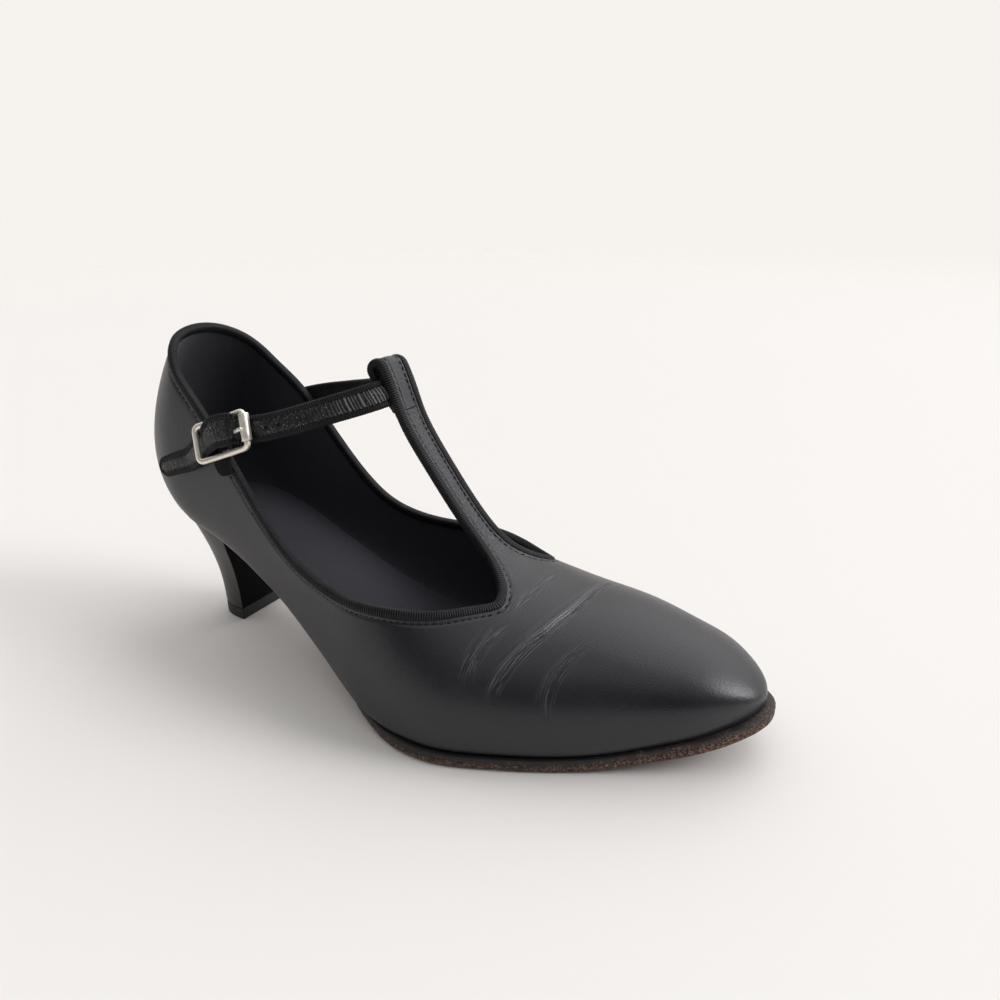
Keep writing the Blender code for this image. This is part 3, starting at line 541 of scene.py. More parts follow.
def leather_material(name, colours, worn, roughness, grain, depth, polished=None, glints=0.0, gleam=0.5):
    """Smooth dyed leather: a fine pebbled grain and an uneven gloss, with a painted highlight in a pale tint
    on the crests of its creases and strands, on its coarse pebbles and in scattered pale dots of painted
    glint. Polish comes up over a run towards the toe."""
    made, tree, shader, place = new_material(name)
    cells = {"Vector": place, "Scale": 1.0 / grain}
    pebble = add_node(tree, "ShaderNodeTexVoronoi", cells, feature="SMOOTH_F1")
    height = math_node(tree, "ADD", pebble.outputs["Distance"], uneven(tree, place, 1.7 / grain, 4.0))
    coarse = map_range(tree, uneven(tree, place, 0.72 / grain, 3.0), 0.38, 0.66, kind="SMOOTHSTEP")
    coarse = math_node(tree, "MULTIPLY", coarse, attribute(tree, "pebbled"))
    height = math_node(tree, "ADD", height, math_node(tree, "MULTIPLY", coarse, GRAIN_HEIGHT))
    hide = uneven(tree, place, *HIDE_PATCHES)
    tint = mix_colours(tree, map_range(tree, hide, *HIDE_RANGE), *colours)
    # Painted highlight: crease and ridge crests, coarse pebbles, strand crests and glints are tinted towards
    # the worn colour, which is the pale tint of these highlights.
    creased = map_range(tree, attribute(tree, "crease"), 0.1, 1.0, 0.0, CREASE_HIGHLIGHT)
    tint = mix_colours(tree, creased, tint, worn)
    tint = mix_colours(tree, math_node(tree, "MULTIPLY", coarse, GRAIN_HIGHLIGHT), tint, worn)
    crest = math_node(tree, "MULTIPLY", attribute(tree, "crest"), STRAND_HIGHLIGHT_SHARE)
    tint = mix_colours(tree, crest, tint, STRAND_HIGHLIGHT)
    if glints:
        # Painted glints: scattered pale dots where the surface would catch the light.
        rubbed = map_range(tree, uneven(tree, place, 1.3 / grain, 1.0), 0.64, 0.74, 0.0, glints)
        tint = mix_colours(tree, rubbed, tint, worn)
    gloss = map_range(tree, hide, *HIDE_RANGE, roughness - GLOSS_SPREAD[0], roughness + GLOSS_SPREAD[1])
    if polished:
        along = add_node(tree, "ShaderNodeSeparateXYZ", {"Vector": place}).outputs["X"]
        polish = map_range(tree, along, *polished, 0.0, POLISH_GLOSS, kind="SMOOTHSTEP")
        gloss = math_node(tree, "SUBTRACT", gloss, polish)
    set_inputs(tree, shader, {"Base Color": tint, "Roughness": gloss, "Specular IOR Level": gleam,
                              "Normal": relief(tree, 0.8, depth, height)})
    return made


upper = copy_node("upper", "leather_upper")
upper_places = vertex_array(upper.data, "co")
from_loop = (upper_places - metres(LOOP_MIDDLE)) / MM
loop_rise = from_loop @ LOOP_UP
loop_off = from_loop @ LOOP_FACING
loop_back = (np.abs(from_loop[:, 1]) < LOOP_HALF) & (loop_off > LOOP_BACK[0]) & (loop_off < LOOP_BACK[1])
loop_back &= (loop_rise < LOOP_BACK_RISE[-1]) & (loop_rise > LOOP_BACK_LOW)
loop_narrow = 1.0 - np.interp(loop_rise, LOOP_BACK_RISE, LOOP_BACK_WIDTH)
loop_forward = np.interp(loop_rise, LOOP_BACK_RISE, LOOP_BACK_FORWARD)
upper_places[:, 1] -= from_loop[:, 1] * loop_narrow * loop_back * MM
upper_places += np.outer(loop_forward * loop_back * MM, LOOP_FACING)
upper.data.vertices.foreach_set("co", upper_places.ravel())
start_edit(upper)
bpy.ops.mesh.select_mode(type="EDGE")
bpy.ops.mesh.select_all(action="DESELECT")
bpy.ops.mesh.edges_select_sharp(sharpness=SHARP_EDGE)
bpy.ops.mesh.mark_seam()
upper_work = bmesh.from_edit_mesh(upper.data)
kept_sharp = upper_work.edges.layers.float.new("crease_edge")
for face in upper_work.faces:
    face.material_index = EDGE_FACES
for edge in upper_work.edges:
    if edge.seam and on_top_edge(edge):
        edge[kept_sharp] = 1.0
bmesh.update_edit_mesh(upper.data)
mark_patch(upper, Vector(metres(VAMP_TOP)), LEATHER_FACES)
mark_patch(upper, Vector(metres(VAMP_INSIDE)), LINING_FACES)
end_edit()
round_off(upper, 0.0, 2)

# The bound edge in order, with the way its leather faces and the way in from the edge
edge_work = bmesh.new()
edge_work.from_mesh(upper.data)
edge_work.normal_update()
edge_run = []
for edge in edge_work.edges:
    if {face.material_index for face in edge.link_faces} == {LEATHER_FACES, EDGE_FACES} and on_top_edge(edge):
        edge_run.append(edge)
edge_rows = []
for vert in chain(edge_run)[:-1]:
    faces = [face for face in vert.link_faces if face.material_index == LEATHER_FACES]
    facing = sum((face.normal for face in faces), Vector()).normalized()
    middle = sum((face.calc_center_median() for face in faces), Vector()) / len(faces)
    edge_rows.append((vert.co[:], facing[:], (middle - vert.co)[:]))
edge_work.free()
edge_rows = np.array(edge_rows)
edge_start = int(np.argmin(np.abs(edge_rows[:, 0, 1] - LOOP_END[1]) + (edge_rows[:, 0, 0] < LOOP_END[0])))
edge_rows = np.roll(edge_rows, -edge_start, axis=0)
edge_points, edge_facing, edge_inward = np.moveaxis(np.concatenate([edge_rows, edge_rows[:1]]), 1, 0)
edge_runs = run_along(edge_points)


def edge_steps(step):
    """Even runs along the bound edge, clear of its ends in the loop."""
    return np.arange(EDGE_TRIM, edge_runs[-1] - EDGE_TRIM, step * MM)


def along_edge(at):
    """Places on the bound edge, the way its leather faces, and the way down from it over the leather."""
    place = smooth_between(edge_runs, edge_points, at)
    facing = unit(smooth_between(edge_runs, edge_facing, at))
    down = square_to(smooth_between(edge_runs, edge_inward, at), unit(np.gradient(place, axis=0)))
    return place, facing, unit(square_to(down, facing))


edge_tree = tree_of(along_edge(edge_steps(EDGE_STEP))[0])
crease_lines = [fine_path(metres(line), CREASE_STEP * MM) for line, *_ in CREASES]
crease_tree = tree_of(np.concatenate(crease_lines))
strand_lines = [fine_path(metres(line), CREASE_STEP * MM) for line, *_ in STRANDS]
strand_tree = tree_of(np.concatenate(strand_lines))
start_edit(upper)
for tree, reach, longest, rounds in ((edge_tree, EDGE_BAND, FINE_LEATHER, 1),
                                     (crease_tree, CREASE_BAND, FINE_LEATHER, 1),
                                     (strand_tree, STRAND_BAND, STRAND_MESH, STRAND_ROUNDS)):
    for _ in range(rounds):
        select_near(upper, tree, reach * MM, longest * MM)
        bpy.ops.mesh.subdivide(number_cuts=1, ngon=False)
select_near(upper, strand_tree, STRAND_BAND * MM, 0.0)
bpy.ops.mesh.vertices_smooth(factor=0.5, repeat=3)
end_edit()
upper_places = vertex_array(upper.data, "co")
leather_verts = np.array(sorted({vert for polygon in upper.data.polygons
                                 if polygon.material_index == LEATHER_FACES for vert in polygon.vertices}))
leather = upper_places[leather_verts]
nearest_edge = [edge_tree.find(place) for place in leather]
from_edge = np.array([found[2] for found in nearest_edge]) / MM
edge_at = np.array([found[1] for found in nearest_edge]) * EDGE_STEP
pucker = RIDGE_FLAT + (1.0 - RIDGE_FLAT) * np.abs(np.sin(np.pi * edge_at / STITCH_PITCH))
ridge = bell(from_edge - RIDGE_LINE, RIDGE_HALF) * pucker
move = RIDGE_HEIGHT * ridge - GROOVE_DEPTH * bell(from_edge - STITCH_LINE, GROOVE_HALF)
# Painted highlight on the ridge beside the stitches and on the rolls behind the creases, kept for the
# leather's colour.
ridge_and_fold_highlight = RIDGE_HIGHLIGHT * ridge
for line, (_, width, depth, roll) in zip(crease_lines, CREASES):
    ahead, share = beside(line, leather)
    ahead /= MM
    fade = np.sin(np.pi * share) ** CREASE_FADE
    swell = bell(ahead + ROLL_BEHIND * width, ROLL_SPREAD * width)
    move += fade * (roll * swell - depth * bell(ahead, width))
    # Painted highlight on the roll of leather behind each crease.
    ridge_and_fold_highlight += fade * swell * roll / TOE_ROLL
# Painted highlight on the strands' crests, kept at each vertex for the leather's colour.
crest = np.zeros(len(leather))
for group, (line, (_, start_half, end_half, strength)) in enumerate(zip(strand_lines, STRANDS)):
    ahead, share = beside(line, leather)
    ahead /= MM
    length = run_along(line)[-1] / MM
    ends = share_between(np.minimum(share, 1.0 - share) * length, 0.0, STRAND_FADE)
    border = share_between(np.abs(ahead), STRAND_BAND, STRAND_BAND - STRAND_BORDER)
    weight = bell(ahead, start_half + (end_half - start_half) * share) * border
    weight *= strength * ends * ends * (3 - 2 * ends)
    along = share * length / STRAND_ALONG
    lane = ahead / STRAND_PITCH
    for k in np.flatnonzero(weight > STRAND_FAINT):
        apart = STRAND_APART * group
        wander = noise.noise(Vector((STRAND_WANDER_ACROSS * lane[k], along[k], apart)))
        broken = noise.noise(Vector((STRAND_BREAK_ACROSS * lane[k], STRAND_BREAK_ALONG * along[k],
                                     STRAND_BREAK_APART + apart)))
        present = weight[k] * share_between(broken, *STRAND_BREAK)
        fold = math.cos(2 * math.pi * (lane[k] + STRAND_WANDER * wander))
        if fold > 0.0:
            move[k] -= STRAND_DEPTH * present * fold
        else:
            move[k] -= STRAND_RISE * present * fold
            crest[k] = max(crest[k], present * (-fold) ** CREST_POWER)
upper_facing = vertex_array(upper.data, "normal")
upper_places[leather_verts] += upper_facing[leather_verts] * move[:, None] * MM
upper.data.vertices.foreach_set("co", upper_places.ravel())
on_shoe = (upper_places - BACK_OF_HEEL) / MM
pebbled = share_between(on_shoe[:, 2], *GRAIN_RISE) * (on_shoe[:, 0] > GRAIN_FROM)
pebbled[(on_shoe - LOOP_MIDDLE) @ LOOP_UP > LOOP_SEAM] *= GRAIN_ON_LOOP
store(upper, "pebbled", pebbled)
for name, values in (("crease", ridge_and_fold_highlight), ("crest", crest)):
    over_all = np.zeros(len(upper_places))
    over_all[leather_verts] = values
    store(upper, name, over_all)
upper.data.update()
upper_leather = leather_material("black_upper_leather", LEATHER_COLOURS, LEATHER_HIGHLIGHT, LEATHER_ROUGHNESS,
                                 LEATHER_GRAIN, LEATHER_DEPTH, TOE_POLISH)
add_piece(upper, [upper_leather, lining_cloth, lining_cloth], "black_leather", "upper")

# Topline binding: a black ribbed tape folded over the upper's open edge and sewn down, all round the
# opening and up both edges of the T-strap over the loop.
TAPE_RIB = 0.70
RIB_SAMPLES = 4
RIB_DEPTH = 0.24
RIB_MEAN = 0.7
TAPE_LEG = 2.0
WALL = 1.6
LOOP_RUN = 40.0
LOOP_THIN = 0.55
# Each row: which place of the fold it starts from, then how far out of the leather and how far up past
# the edge it stands in millimetres, and how much of the rib it takes.
TAPE_PROFILE = (
    ("outer_foot", -0.30, 0.0, 0.0), ("outer_foot", 0.22, 0.0, 0.6), ("outer_low", 0.46, 0.0, 1.0),
    ("outer_middle", 0.62, 0.0, 1.0), ("outer_edge", 0.64, 0.0, 1.0), ("outer_edge", 0.50, 0.48, 1.0),
    ("outer_edge", 0.05, 0.70, 1.0), ("inner_edge", 0.15, 0.68, 1.0), ("inner_edge", -0.36, 0.40, 1.0),
    ("inner_edge", -0.48, -0.10, 1.0), ("inner_middle", -0.46, 0.0, 1.0), ("inner_foot", -0.26, 0.0, 0.6),
    ("inner_foot", 0.30, 0.0, 0.0), ("inner_edge", 0.80, -1.30, 0.0),
)
# The tape's two colours are painted shade in the rib furrows and a painted highlight on the rib crowns.
TAPE_SHADE_AND_HIGHLIGHT = ((0.0015, 0.0015, 0.0018, 1.0), (0.052, 0.052, 0.057, 1.0))
TAPE_ROUGHNESS = 0.55
TAPE_GLEAM = 0.16


def mesh_piece(name, points, faces):
    """A piece made from points and faces, its faces turned outwards."""
    mesh = bpy.data.meshes.new(name)
    mesh.from_pydata(points.reshape(-1, 3).tolist(), [], faces)
    piece = add_object(name, mesh)
    start_edit(piece)
    bpy.ops.mesh.normals_make_consistent(inside=False)
    end_edit()
    return piece


def loft(name, rings, cyclic=False):
    """A closed skin over a run of rings, with flat ends unless it runs round into itself."""
    count, around = rings.shape[:2]
    index = np.arange(count * around).reshape(count, around)
    here = index if cyclic else index[:-1]
    ahead = np.roll(index, -1, axis=0) if cyclic else index[1:]
    faces = np.stack([here, np.roll(here, -1, axis=1), np.roll(ahead, -1, axis=1), ahead], axis=-1)
    faces = faces.reshape(-1, 4).tolist()
    if not cyclic:
        faces += [index[0][::-1].tolist(), index[-1].tolist()]
    return mesh_piece(name, rings, faces)


def rib_height(run, pitch):
    """Height of a woven rib, from 0 in the furrow to 1 on the crown."""
    return np.abs(np.sin(np.pi * run / (pitch * MM))) ** 0.7


def tape_material(name, colours):
    """Ribbed woven tape: dull black thread, with painted shade in the furrows and a painted highlight on the
    crowns.
    """
    made, tree, shader, place = new_material(name)
    thread = uneven(tree, place, 5200.0, 2.0)
    fade = map_range(tree, uneven(tree, place, 160.0, 4.0), 0.3, 0.7, 0.45, 1.0)
    # Painted highlight on the rib crowns and painted shade in the furrows, by the rib's height.
    crown = math_node(tree, "MULTIPLY", map_range(tree, attribute(tree, "rib"), 0.70, 1.0), fade)
    set_inputs(tree, shader, {"Base Color": mix_colours(tree, crown, *colours), "Roughness": TAPE_ROUGHNESS,
                              "Specular IOR Level": TAPE_GLEAM,
                              "Normal": relief(tree, 0.5, 0.05 * MM, thread)})
    return made


upper_skin = BVHTree.FromPolygons([Vector(place) for place in upper_places],
                                  [polygon.vertices[:] for polygon in upper.data.polygons])


def on_upper(places):
    """The nearest places on the upper's skin, and the way it faces there."""
    found = [upper_skin.find_nearest(Vector(place))[:2] for place in places]
    return np.array([place for place, _ in found]), np.array([facing for _, facing in found])


tape_at = edge_steps(TAPE_RIB / RIB_SAMPLES)
outer_edge, tape_facing, tape_down = along_edge(tape_at)
inner_edge = outer_edge - tape_facing * WALL * MM
outer_foot, outer_foot_facing = on_upper(outer_edge + tape_down * TAPE_LEG * MM)
inner_foot, inner_foot_facing = on_upper(inner_edge + tape_down * TAPE_LEG * MM)
tape_places = {
    "outer_foot": (outer_foot, outer_foot_facing),
    "outer_low": (outer_foot * 0.85 + outer_edge * 0.15, outer_foot_facing),
    "outer_middle": (outer_foot * 0.5 + outer_edge * 0.5, tape_facing),
    "outer_edge": (outer_edge, tape_facing),
    "inner_edge": (inner_edge, tape_facing),
    "inner_middle": (inner_foot * 0.5 + inner_edge * 0.5, tape_facing),
    "inner_foot": (inner_foot, -inner_foot_facing),
}
in_loop = np.minimum(tape_at, edge_runs[-1] - tape_at) < LOOP_RUN * MM
tape_ribs = rib_height(tape_at, TAPE_RIB)
tape_rings = []
for start, out, up, rib in TAPE_PROFILE:
    base, facing = tape_places[start]
    grow = 1 + rib * RIB_DEPTH * (tape_ribs - RIB_MEAN) / (np.hypot(out, up) or 1.0)
    inside = np.where(in_loop & start.startswith("inner") & (out < 0.0), LOOP_THIN, 1.0)
    step_out = facing * (out * grow * inside)[:, None]
    step_down = tape_down * (up * grow)[:, None]
    tape_rings.append(base + (step_out - step_down) * MM)
tape = loft("topline_tape", np.stack(tape_rings, axis=1))
store(tape, "rib", np.repeat(tape_ribs, len(TAPE_PROFILE)))
ribbed_tape = tape_material("black_ribbed_tape", TAPE_SHADE_AND_HIGHLIGHT)
add_piece(tape, [ribbed_tape], "ribbed_tape", "topline_binding")

# Topline stitching: one row of black thread through the upper beside its binding, and a short row across
# the T-strap under its loop. Each stitch is a short round bead of thread lying in its groove.
STITCH_LONG = 1.45
STITCH_THICK = 0.46
STITCH_SUNK = 0.04
SEAM_STITCHES = (-2.4, -1.2, 0.0, 1.2, 2.4)
THREAD_COLOURS = ((0.0015, 0.0015, 0.0018, 1.0), (0.006, 0.006, 0.007, 1.0))
bpy.ops.object.select_all(action="DESELECT")
bpy.ops.mesh.primitive_uv_sphere_add(segments=8, ring_count=6, radius=0.5)
one_stitch = bpy.context.active_object
stitch_verts = vertex_array(one_stitch.data, "co") * np.array([STITCH_LONG, STITCH_THICK, STITCH_THICK]) * MM
stitch_faces = np.array([vert for polygon in one_stitch.data.polygons for vert in polygon.vertices])
stitch_corners = np.cumsum([len(polygon.vertices) for polygon in one_stitch.data.polygons])[:-1]
bpy.data.objects.remove(one_stitch)
thread = tape_material("black_thread", THREAD_COLOURS)


def add_stitches(name, places, onward, facing, slot):
    """One stitch copied to each place, lying along the row."""
    turns = np.stack([onward, np.cross(facing, onward), facing], axis=1)
    turned = np.einsum("vk,pkc->pvc", stitch_verts, turns)
    faces = []
    for k in range(len(places)):
        faces += [face.tolist() for face in np.split(stitch_faces + k * len(stitch_verts), stitch_corners)]
    stitches = mesh_piece(name, places[:, None, :] + turned, faces)
    store(stitches, "rib", np.ones(len(stitches.data.vertices)))
    add_piece(stitches, [thread], slot)


stitch_edge, _, stitch_down = along_edge(edge_steps(STITCH_PITCH))
row_places, row_facing = on_upper(stitch_edge + stitch_down * STITCH_LINE * MM)
seam_middle = LOOP_MIDDLE + LOOP_SEAM * LOOP_UP + LOOP_FACING
seam_places, seam_facing = on_upper(metres([seam_middle + (0.0, across, 0.0) for across in SEAM_STITCHES]))
stitch_facing = np.concatenate([row_facing, seam_facing])
stitch_places = np.concatenate([row_places, seam_places]) - stitch_facing * STITCH_SUNK * MM
stitch_onward = np.concatenate([unit(np.gradient(places, axis=0)) for places in (row_places, seam_places)])
add_stitches("topline_stitches", stitch_places, stitch_onward, stitch_facing, "ribbed_tape")

# Outsole: one thin leather sole cemented under the forefoot and arch, its edge dyed black and worn
# brown along the lower half, its underside suede.
SOLE_SAMPLES = 181
# Each row: how far in from the outline in millimetres, and the share of the sole's thickness down its edge.
SOLE_PROFILE = np.array([
    (3.0, 0.0), (0.60, 0.0), (0.20, 0.03), (0.02, 0.10), (0.0, 0.20), (0.16, 0.25), (0.18, 0.29),
    (0.02, 0.34), (0.0, 0.48), (0.10, 0.66), (0.35, 0.82), (0.75, 0.93), (1.30, 0.99), (3.0, 1.0),
])
SOLE_ROUGH = 0.10
SOLE_ROUGH_DROP = (0.3, 1.0)
SOLE_ROUGH_SCALE = 420.0
SOLE_TOP_FACING = 0.6
SOLE_CORNER = 1.0 * MM
SOLE_FEEL = 2.0 * MM
BELOW_FLOOR = -0.05
SOLE_DYE = ((0.008, 0.0072, 0.0072, 1.0), (0.026, 0.020, 0.018, 1.0))
SOLE_WORN = ((0.030, 0.0145, 0.0105, 1.0), (0.27, 0.165, 0.115, 1.0))
SOLE_WEAR = (0.66, 1.06)
SOLE_TOE_WEAR = (0.06, 0.112, 0.0, 0.28)
SOLE_SUEDE = ((0.040, 0.022, 0.015, 1.0), (0.105, 0.058, 0.038, 1.0))
SOLE_SUEDE_FROM = 0.955


def sole_material(name):
    """Dyed sole leather: black at the top of its edge, rubbed to bare brown below, suede underneath."""
    made, tree, shader, place = new_material(name)
    drop = attribute(tree, "edge_drop")
    patch = uneven(tree, place, 240.0, 6.0, 0.65)
    speck = uneven(tree, place, 1500.0, 4.0)
    dye = mix_colours(tree, patch, *SOLE_DYE)
    bare = mix_colours(tree, map_range(tree, speck, 0.44, 0.70), *SOLE_WORN)
    suede = mix_colours(tree, map_range(tree, patch, 0.35, 0.65), *SOLE_SUEDE)
    along = add_node(tree, "ShaderNodeSeparateXYZ", {"Vector": place}).outputs["X"]
    worn = math_node(tree, "ADD", drop, map_range(tree, along, *SOLE_TOE_WEAR))
    worn = math_node(tree, "ADD", worn, patch)
    edge = mix_colours(tree, map_range(tree, worn, *SOLE_WEAR), dye, bare)
    nap = math_node(tree, "ADD", uneven(tree, place, 3600.0, 3.0), speck)
    set_inputs(tree, shader, {
        "Base Color": mix_colours(tree, map_range(tree, drop, SOLE_SUEDE_FROM, 1.0), edge, suede),
        "Roughness": map_range(tree, worn, *SOLE_WEAR, 0.55, 0.85),
        "Normal": relief(tree, 0.7, 0.12 * MM, nap)})
    return made


sole_solid = copy_node("outsole", "outsole_solid")
sole_work = bmesh.new()
sole_work.from_mesh(sole_solid.data)
sole_work.normal_update()
sole_skin = BVHTree.FromBMesh(sole_work)
sole_rim = [edge for edge in sole_work.edges
            if len({face.normal.z > SOLE_TOP_FACING for face in edge.link_faces}) == 2]
sole_outline = np.array([vert.co[:] for vert in chain(sole_rim)[:-1]])
sole_work.free()
bpy.data.objects.remove(sole_solid)
# The outline runs from one back corner round the toe to the other.
sole_outline = np.roll(sole_outline, -int(np.argmin(sole_outline[:, 0])), axis=0)
if sole_outline[1, 0] < sole_outline[0, 0] + SOLE_CORNER:
    sole_outline = np.roll(sole_outline, -1, axis=0)
sole_runs = run_along(sole_outline)
sole_path = smooth_between(sole_runs, sole_outline, np.linspace(0.0, sole_runs[-1], SOLE_SAMPLES))
sole_onward = unit(np.gradient(sole_path[:, :2], axis=0))
sole_outward = np.column_stack([sole_onward[:, 1], -sole_onward[:, 0], np.zeros(SOLE_SAMPLES)])
if np.sum((sole_path - sole_path.mean(axis=0)) * sole_outward) < 0:
    sole_outward = -sole_outward
sole_hits = [sole_skin.ray_cast(Vector((x, y, BELOW_FLOOR)), Vector((0.0, 0.0, 1.0)))[0]
             for x, y, _ in sole_path - sole_outward * SOLE_FEEL]
sole_known = [k for k, hit in enumerate(sole_hits) if hit]
sole_low = np.interp(np.arange(SOLE_SAMPLES), sole_known, [sole_hits[k].z for k in sole_known])
sole_points = sole_path[:, None, :] - sole_outward[:, None, :] * SOLE_PROFILE[:, :1] * MM
sole_points[..., 2] -= np.outer(sole_path[:, 2] - sole_low, SOLE_PROFILE[:, 1])
for j, drop in enumerate(SOLE_PROFILE[:, 1]):
    if SOLE_ROUGH_DROP[0] < drop < SOLE_ROUGH_DROP[1]:
        for i in range(SOLE_SAMPLES):
            rough = noise.fractal(Vector(sole_points[i, j]) * SOLE_ROUGH_SCALE, 1.0, 2.0, 4)
            sole_points[i, j] += sole_outward[i] * rough * SOLE_ROUGH * MM
sole_index = np.arange(SOLE_SAMPLES * len(SOLE_PROFILE)).reshape(SOLE_SAMPLES, -1)
sole_here = sole_index[:-1]
sole_ahead = sole_index[1:]
sole_faces = np.stack([sole_here[:, :-1], sole_here[:, 1:], sole_ahead[:, 1:], sole_ahead[:, :-1]], axis=-1)
sole_faces = sole_faces.reshape(-1, 4).tolist()
for rim in (sole_index[:, 0].tolist(), sole_index[:, -1].tolist()):
    for i in range(SOLE_SAMPLES // 2):
        sole_faces.append(list(dict.fromkeys([rim[i], rim[i + 1], rim[-2 - i], rim[-1 - i]])))
sole_faces.append(sole_index[0].tolist() + sole_index[-1][::-1].tolist())
sole = mesh_piece("leather_outsole", sole_points, sole_faces)
store(sole, "edge_drop", np.tile(SOLE_PROFILE[:, 1], SOLE_SAMPLES))
add_piece(sole, [sole_material("worn_sole_leather")], "sole_leather", "outsole")

# Heel: a flared block covered with the upper's leather, cemented and nailed to the seat. Its straight
# breast is faced in a near-black matt cloth of little gloss, darker than the heel's leather: painted shade
# for the shadow under the arch.
HEEL_EDGE_ROUND = 0.45 * MM
HEEL_COLOURS = ((0.0080, 0.0082, 0.0090, 1.0), (0.0140, 0.0143, 0.0155, 1.0))
HEEL_ROUGHNESS = 0.40
HEEL_GRAIN = 0.45 * MM
HEEL_DEPTH = 0.035 * MM
BREAST_FACING = 0.8
# Painted shade: the breast's colours are darker than the heel's leather for the shadow under the arch.
BREAST_SHADE_COLOURS = ((0.0012, 0.0012, 0.0015, 1.0), (0.0032, 0.0032, 0.0038, 1.0))
BREAST_THREAD = 0.4 * MM
BREAST_GLEAM = 0.1
heel = copy_node("heel", "covered_heel")
round_off(heel, HEEL_EDGE_ROUND, 2)
for polygon in heel.data.polygons:
    polygon.material_index = int(polygon.normal.x > BREAST_FACING)
heel_leather = leather_material("black_heel_leather", HEEL_COLOURS, LEATHER_HIGHLIGHT, HEEL_ROUGHNESS,
                                HEEL_GRAIN, HEEL_DEPTH)
breast_painted_shade = cloth_material("black_heel_breast", BREAST_SHADE_COLOURS, BREAST_THREAD, BREAST_GLEAM, 0.0)
add_piece(heel, [heel_leather, breast_painted_shade], "heel_cover", "heel")

# Heel top piece: a small block of hard black rubber nailed under the heel, its edge rubbed grey.
# It is moulded in one piece and trimmed flush with the heel's foot.
TOP_PIECE_ROUND = 0.5 * MM
RUBBER_COLOURS = ((0.010, 0.010, 0.010, 1.0), (0.030, 0.029, 0.028, 1.0))


def rubber_material(name, colours):
    """Hard rubber, scuffed grey in patches."""
    made, tree, shader, place = new_material(name)
    scuff = uneven(tree, place, 700.0, 6.0, 0.7)
    set_inputs(tree, shader, {"Base Color": mix_colours(tree, map_range(tree, scuff, 0.35, 0.75), *colours),
                              "Roughness": map_range(tree, scuff, 0.3, 0.7, 0.5, 0.8),
                              "Normal": relief(tree, 0.4, 0.08 * MM, scuff)})
    return made


top_piece = copy_node("heel_top_piece", "heel_top_lift")
round_off(top_piece, TOP_PIECE_ROUND, 1)
add_piece(top_piece, [rubber_material("hard_black_rubber", RUBBER_COLOURS)], "heel_rubber", "heel_top_piece")

# Buckle tab: a short doubled strip in the black of the binding tape, sewn to the outer quarter and folded
# round the buckle's middle bar, with a slot for the prong.
TAB_EDGE = 0.3 * MM
tab = copy_node("buckle_tab", "buckle_tab_strip")
round_off(tab, TAB_EDGE, 2)
add_piece(tab, [ribbed_tape], "strap_leather", "buckle_tab")

# Buckle frame: nickel plated wire, pressed a little flat and bent to a rounded rectangle that bows
# with the foot, with a bar brazed across its middle.
BUCKLE_CENTRE = np.array([55.1, -27.45, 81.95])
BUCKLE_TURN = math.radians(11.0)
BUCKLE_RISE = math.radians(20.5)
BUCKLE_TILT = math.radians(14.0)
BUCKLE_SKEW = 0.13
BUCKLE_LENGTH = 20.8
BUCKLE_HEIGHT = 11.4
BUCKLE_CORNER = 1.7
CORNER_STEPS = 9
BUCKLE_END_LIFT = 0.8
WIRE_HALF = (0.98, 0.82)
WIRE_SIDES = 20
WIRE_SQUARE = 2.6
WIRE_STEP = 0.35
BAR_ALONG = -1.0
BAR_OFF = -1.5
BAR_HALF = (0.80, 0.80)
BAR_SIDES = 12
BAR_BEND = 1.2
NICKEL_COLOURS = ((0.82, 0.765, 0.67, 1.0), (0.98, 0.93, 0.84, 1.0))
NICKEL_ROUGHNESS = (0.30, 0.44)
NICKEL_METAL = 0.85
along_buckle = np.array([math.cos(BUCKLE_RISE) * math.cos(BUCKLE_TURN),
                         math.cos(BUCKLE_RISE) * math.sin(BUCKLE_TURN), math.sin(BUCKLE_RISE)])
level_off = np.array([math.sin(BUCKLE_TURN), -math.cos(BUCKLE_TURN), 0.0])
level_across = np.cross(along_buckle, level_off)
level_across *= math.copysign(1.0, level_across[2])
off_buckle = level_off * math.cos(BUCKLE_TILT) + level_across * math.sin(BUCKLE_TILT)
across_buckle = level_across * math.cos(BUCKLE_TILT) - level_off * math.sin(BUCKLE_TILT)


def on_buckle(along, across, off):
    """A place in millimetres along, across and off the buckle's frame, which is pulled a little askew."""
    askew = np.asarray(along) + BUCKLE_SKEW * np.asarray(across)
    place = np.multiply.outer(askew, along_buckle) + np.multiply.outer(across, across_buckle)
    return metres(BUCKLE_CENTRE + place + np.multiply.outer(off, off_buckle))


def end_lift(along):
    """How far the frame bows out towards its ends."""
    return BUCKLE_END_LIFT * (2 * along / BUCKLE_LENGTH) ** 2


def wire_outline(halves, sides, square):
    """A rounded wire section between a circle and a rectangle, in metres."""
    angles = np.arange(sides) * 2 * math.pi / sides
    waves = np.column_stack([np.cos(angles), np.sin(angles)])
    return np.sign(waves) * np.abs(waves) ** (2 / square) * halves * MM


def sweep(path, facing, outline, cyclic=False):
    """Rings of an outline along a path: across the path, and towards the side that it faces."""
    if cyclic:
        onward = unit(np.roll(path, -1, axis=0) - np.roll(path, 1, axis=0))
    else:
        onward = unit(np.gradient(path, axis=0))
    up = unit(square_to(facing, onward))
    side = np.cross(up, onward)
    return path[:, None, :] + side[:, None, :] * outline[..., :1] + up[:, None, :] * outline[..., 1:]


def nickel_material(name, colours):
    """Satin nickel plate, warm and faintly scratched."""
    made, tree, shader, place = new_material(name)
    tarnish = uneven(tree, place, 320.0, 5.0)
    scratch = uneven(tree, place, 2600.0, 3.0)
    set_inputs(tree, shader, {"Base Color": mix_colours(tree, tarnish, *colours), "Metallic": NICKEL_METAL,
                              "Roughness": map_range(tree, tarnish, 0.3, 0.7, *NICKEL_ROUGHNESS),
                              "Normal": relief(tree, 0.15, 0.03 * MM, scratch)})
    return made


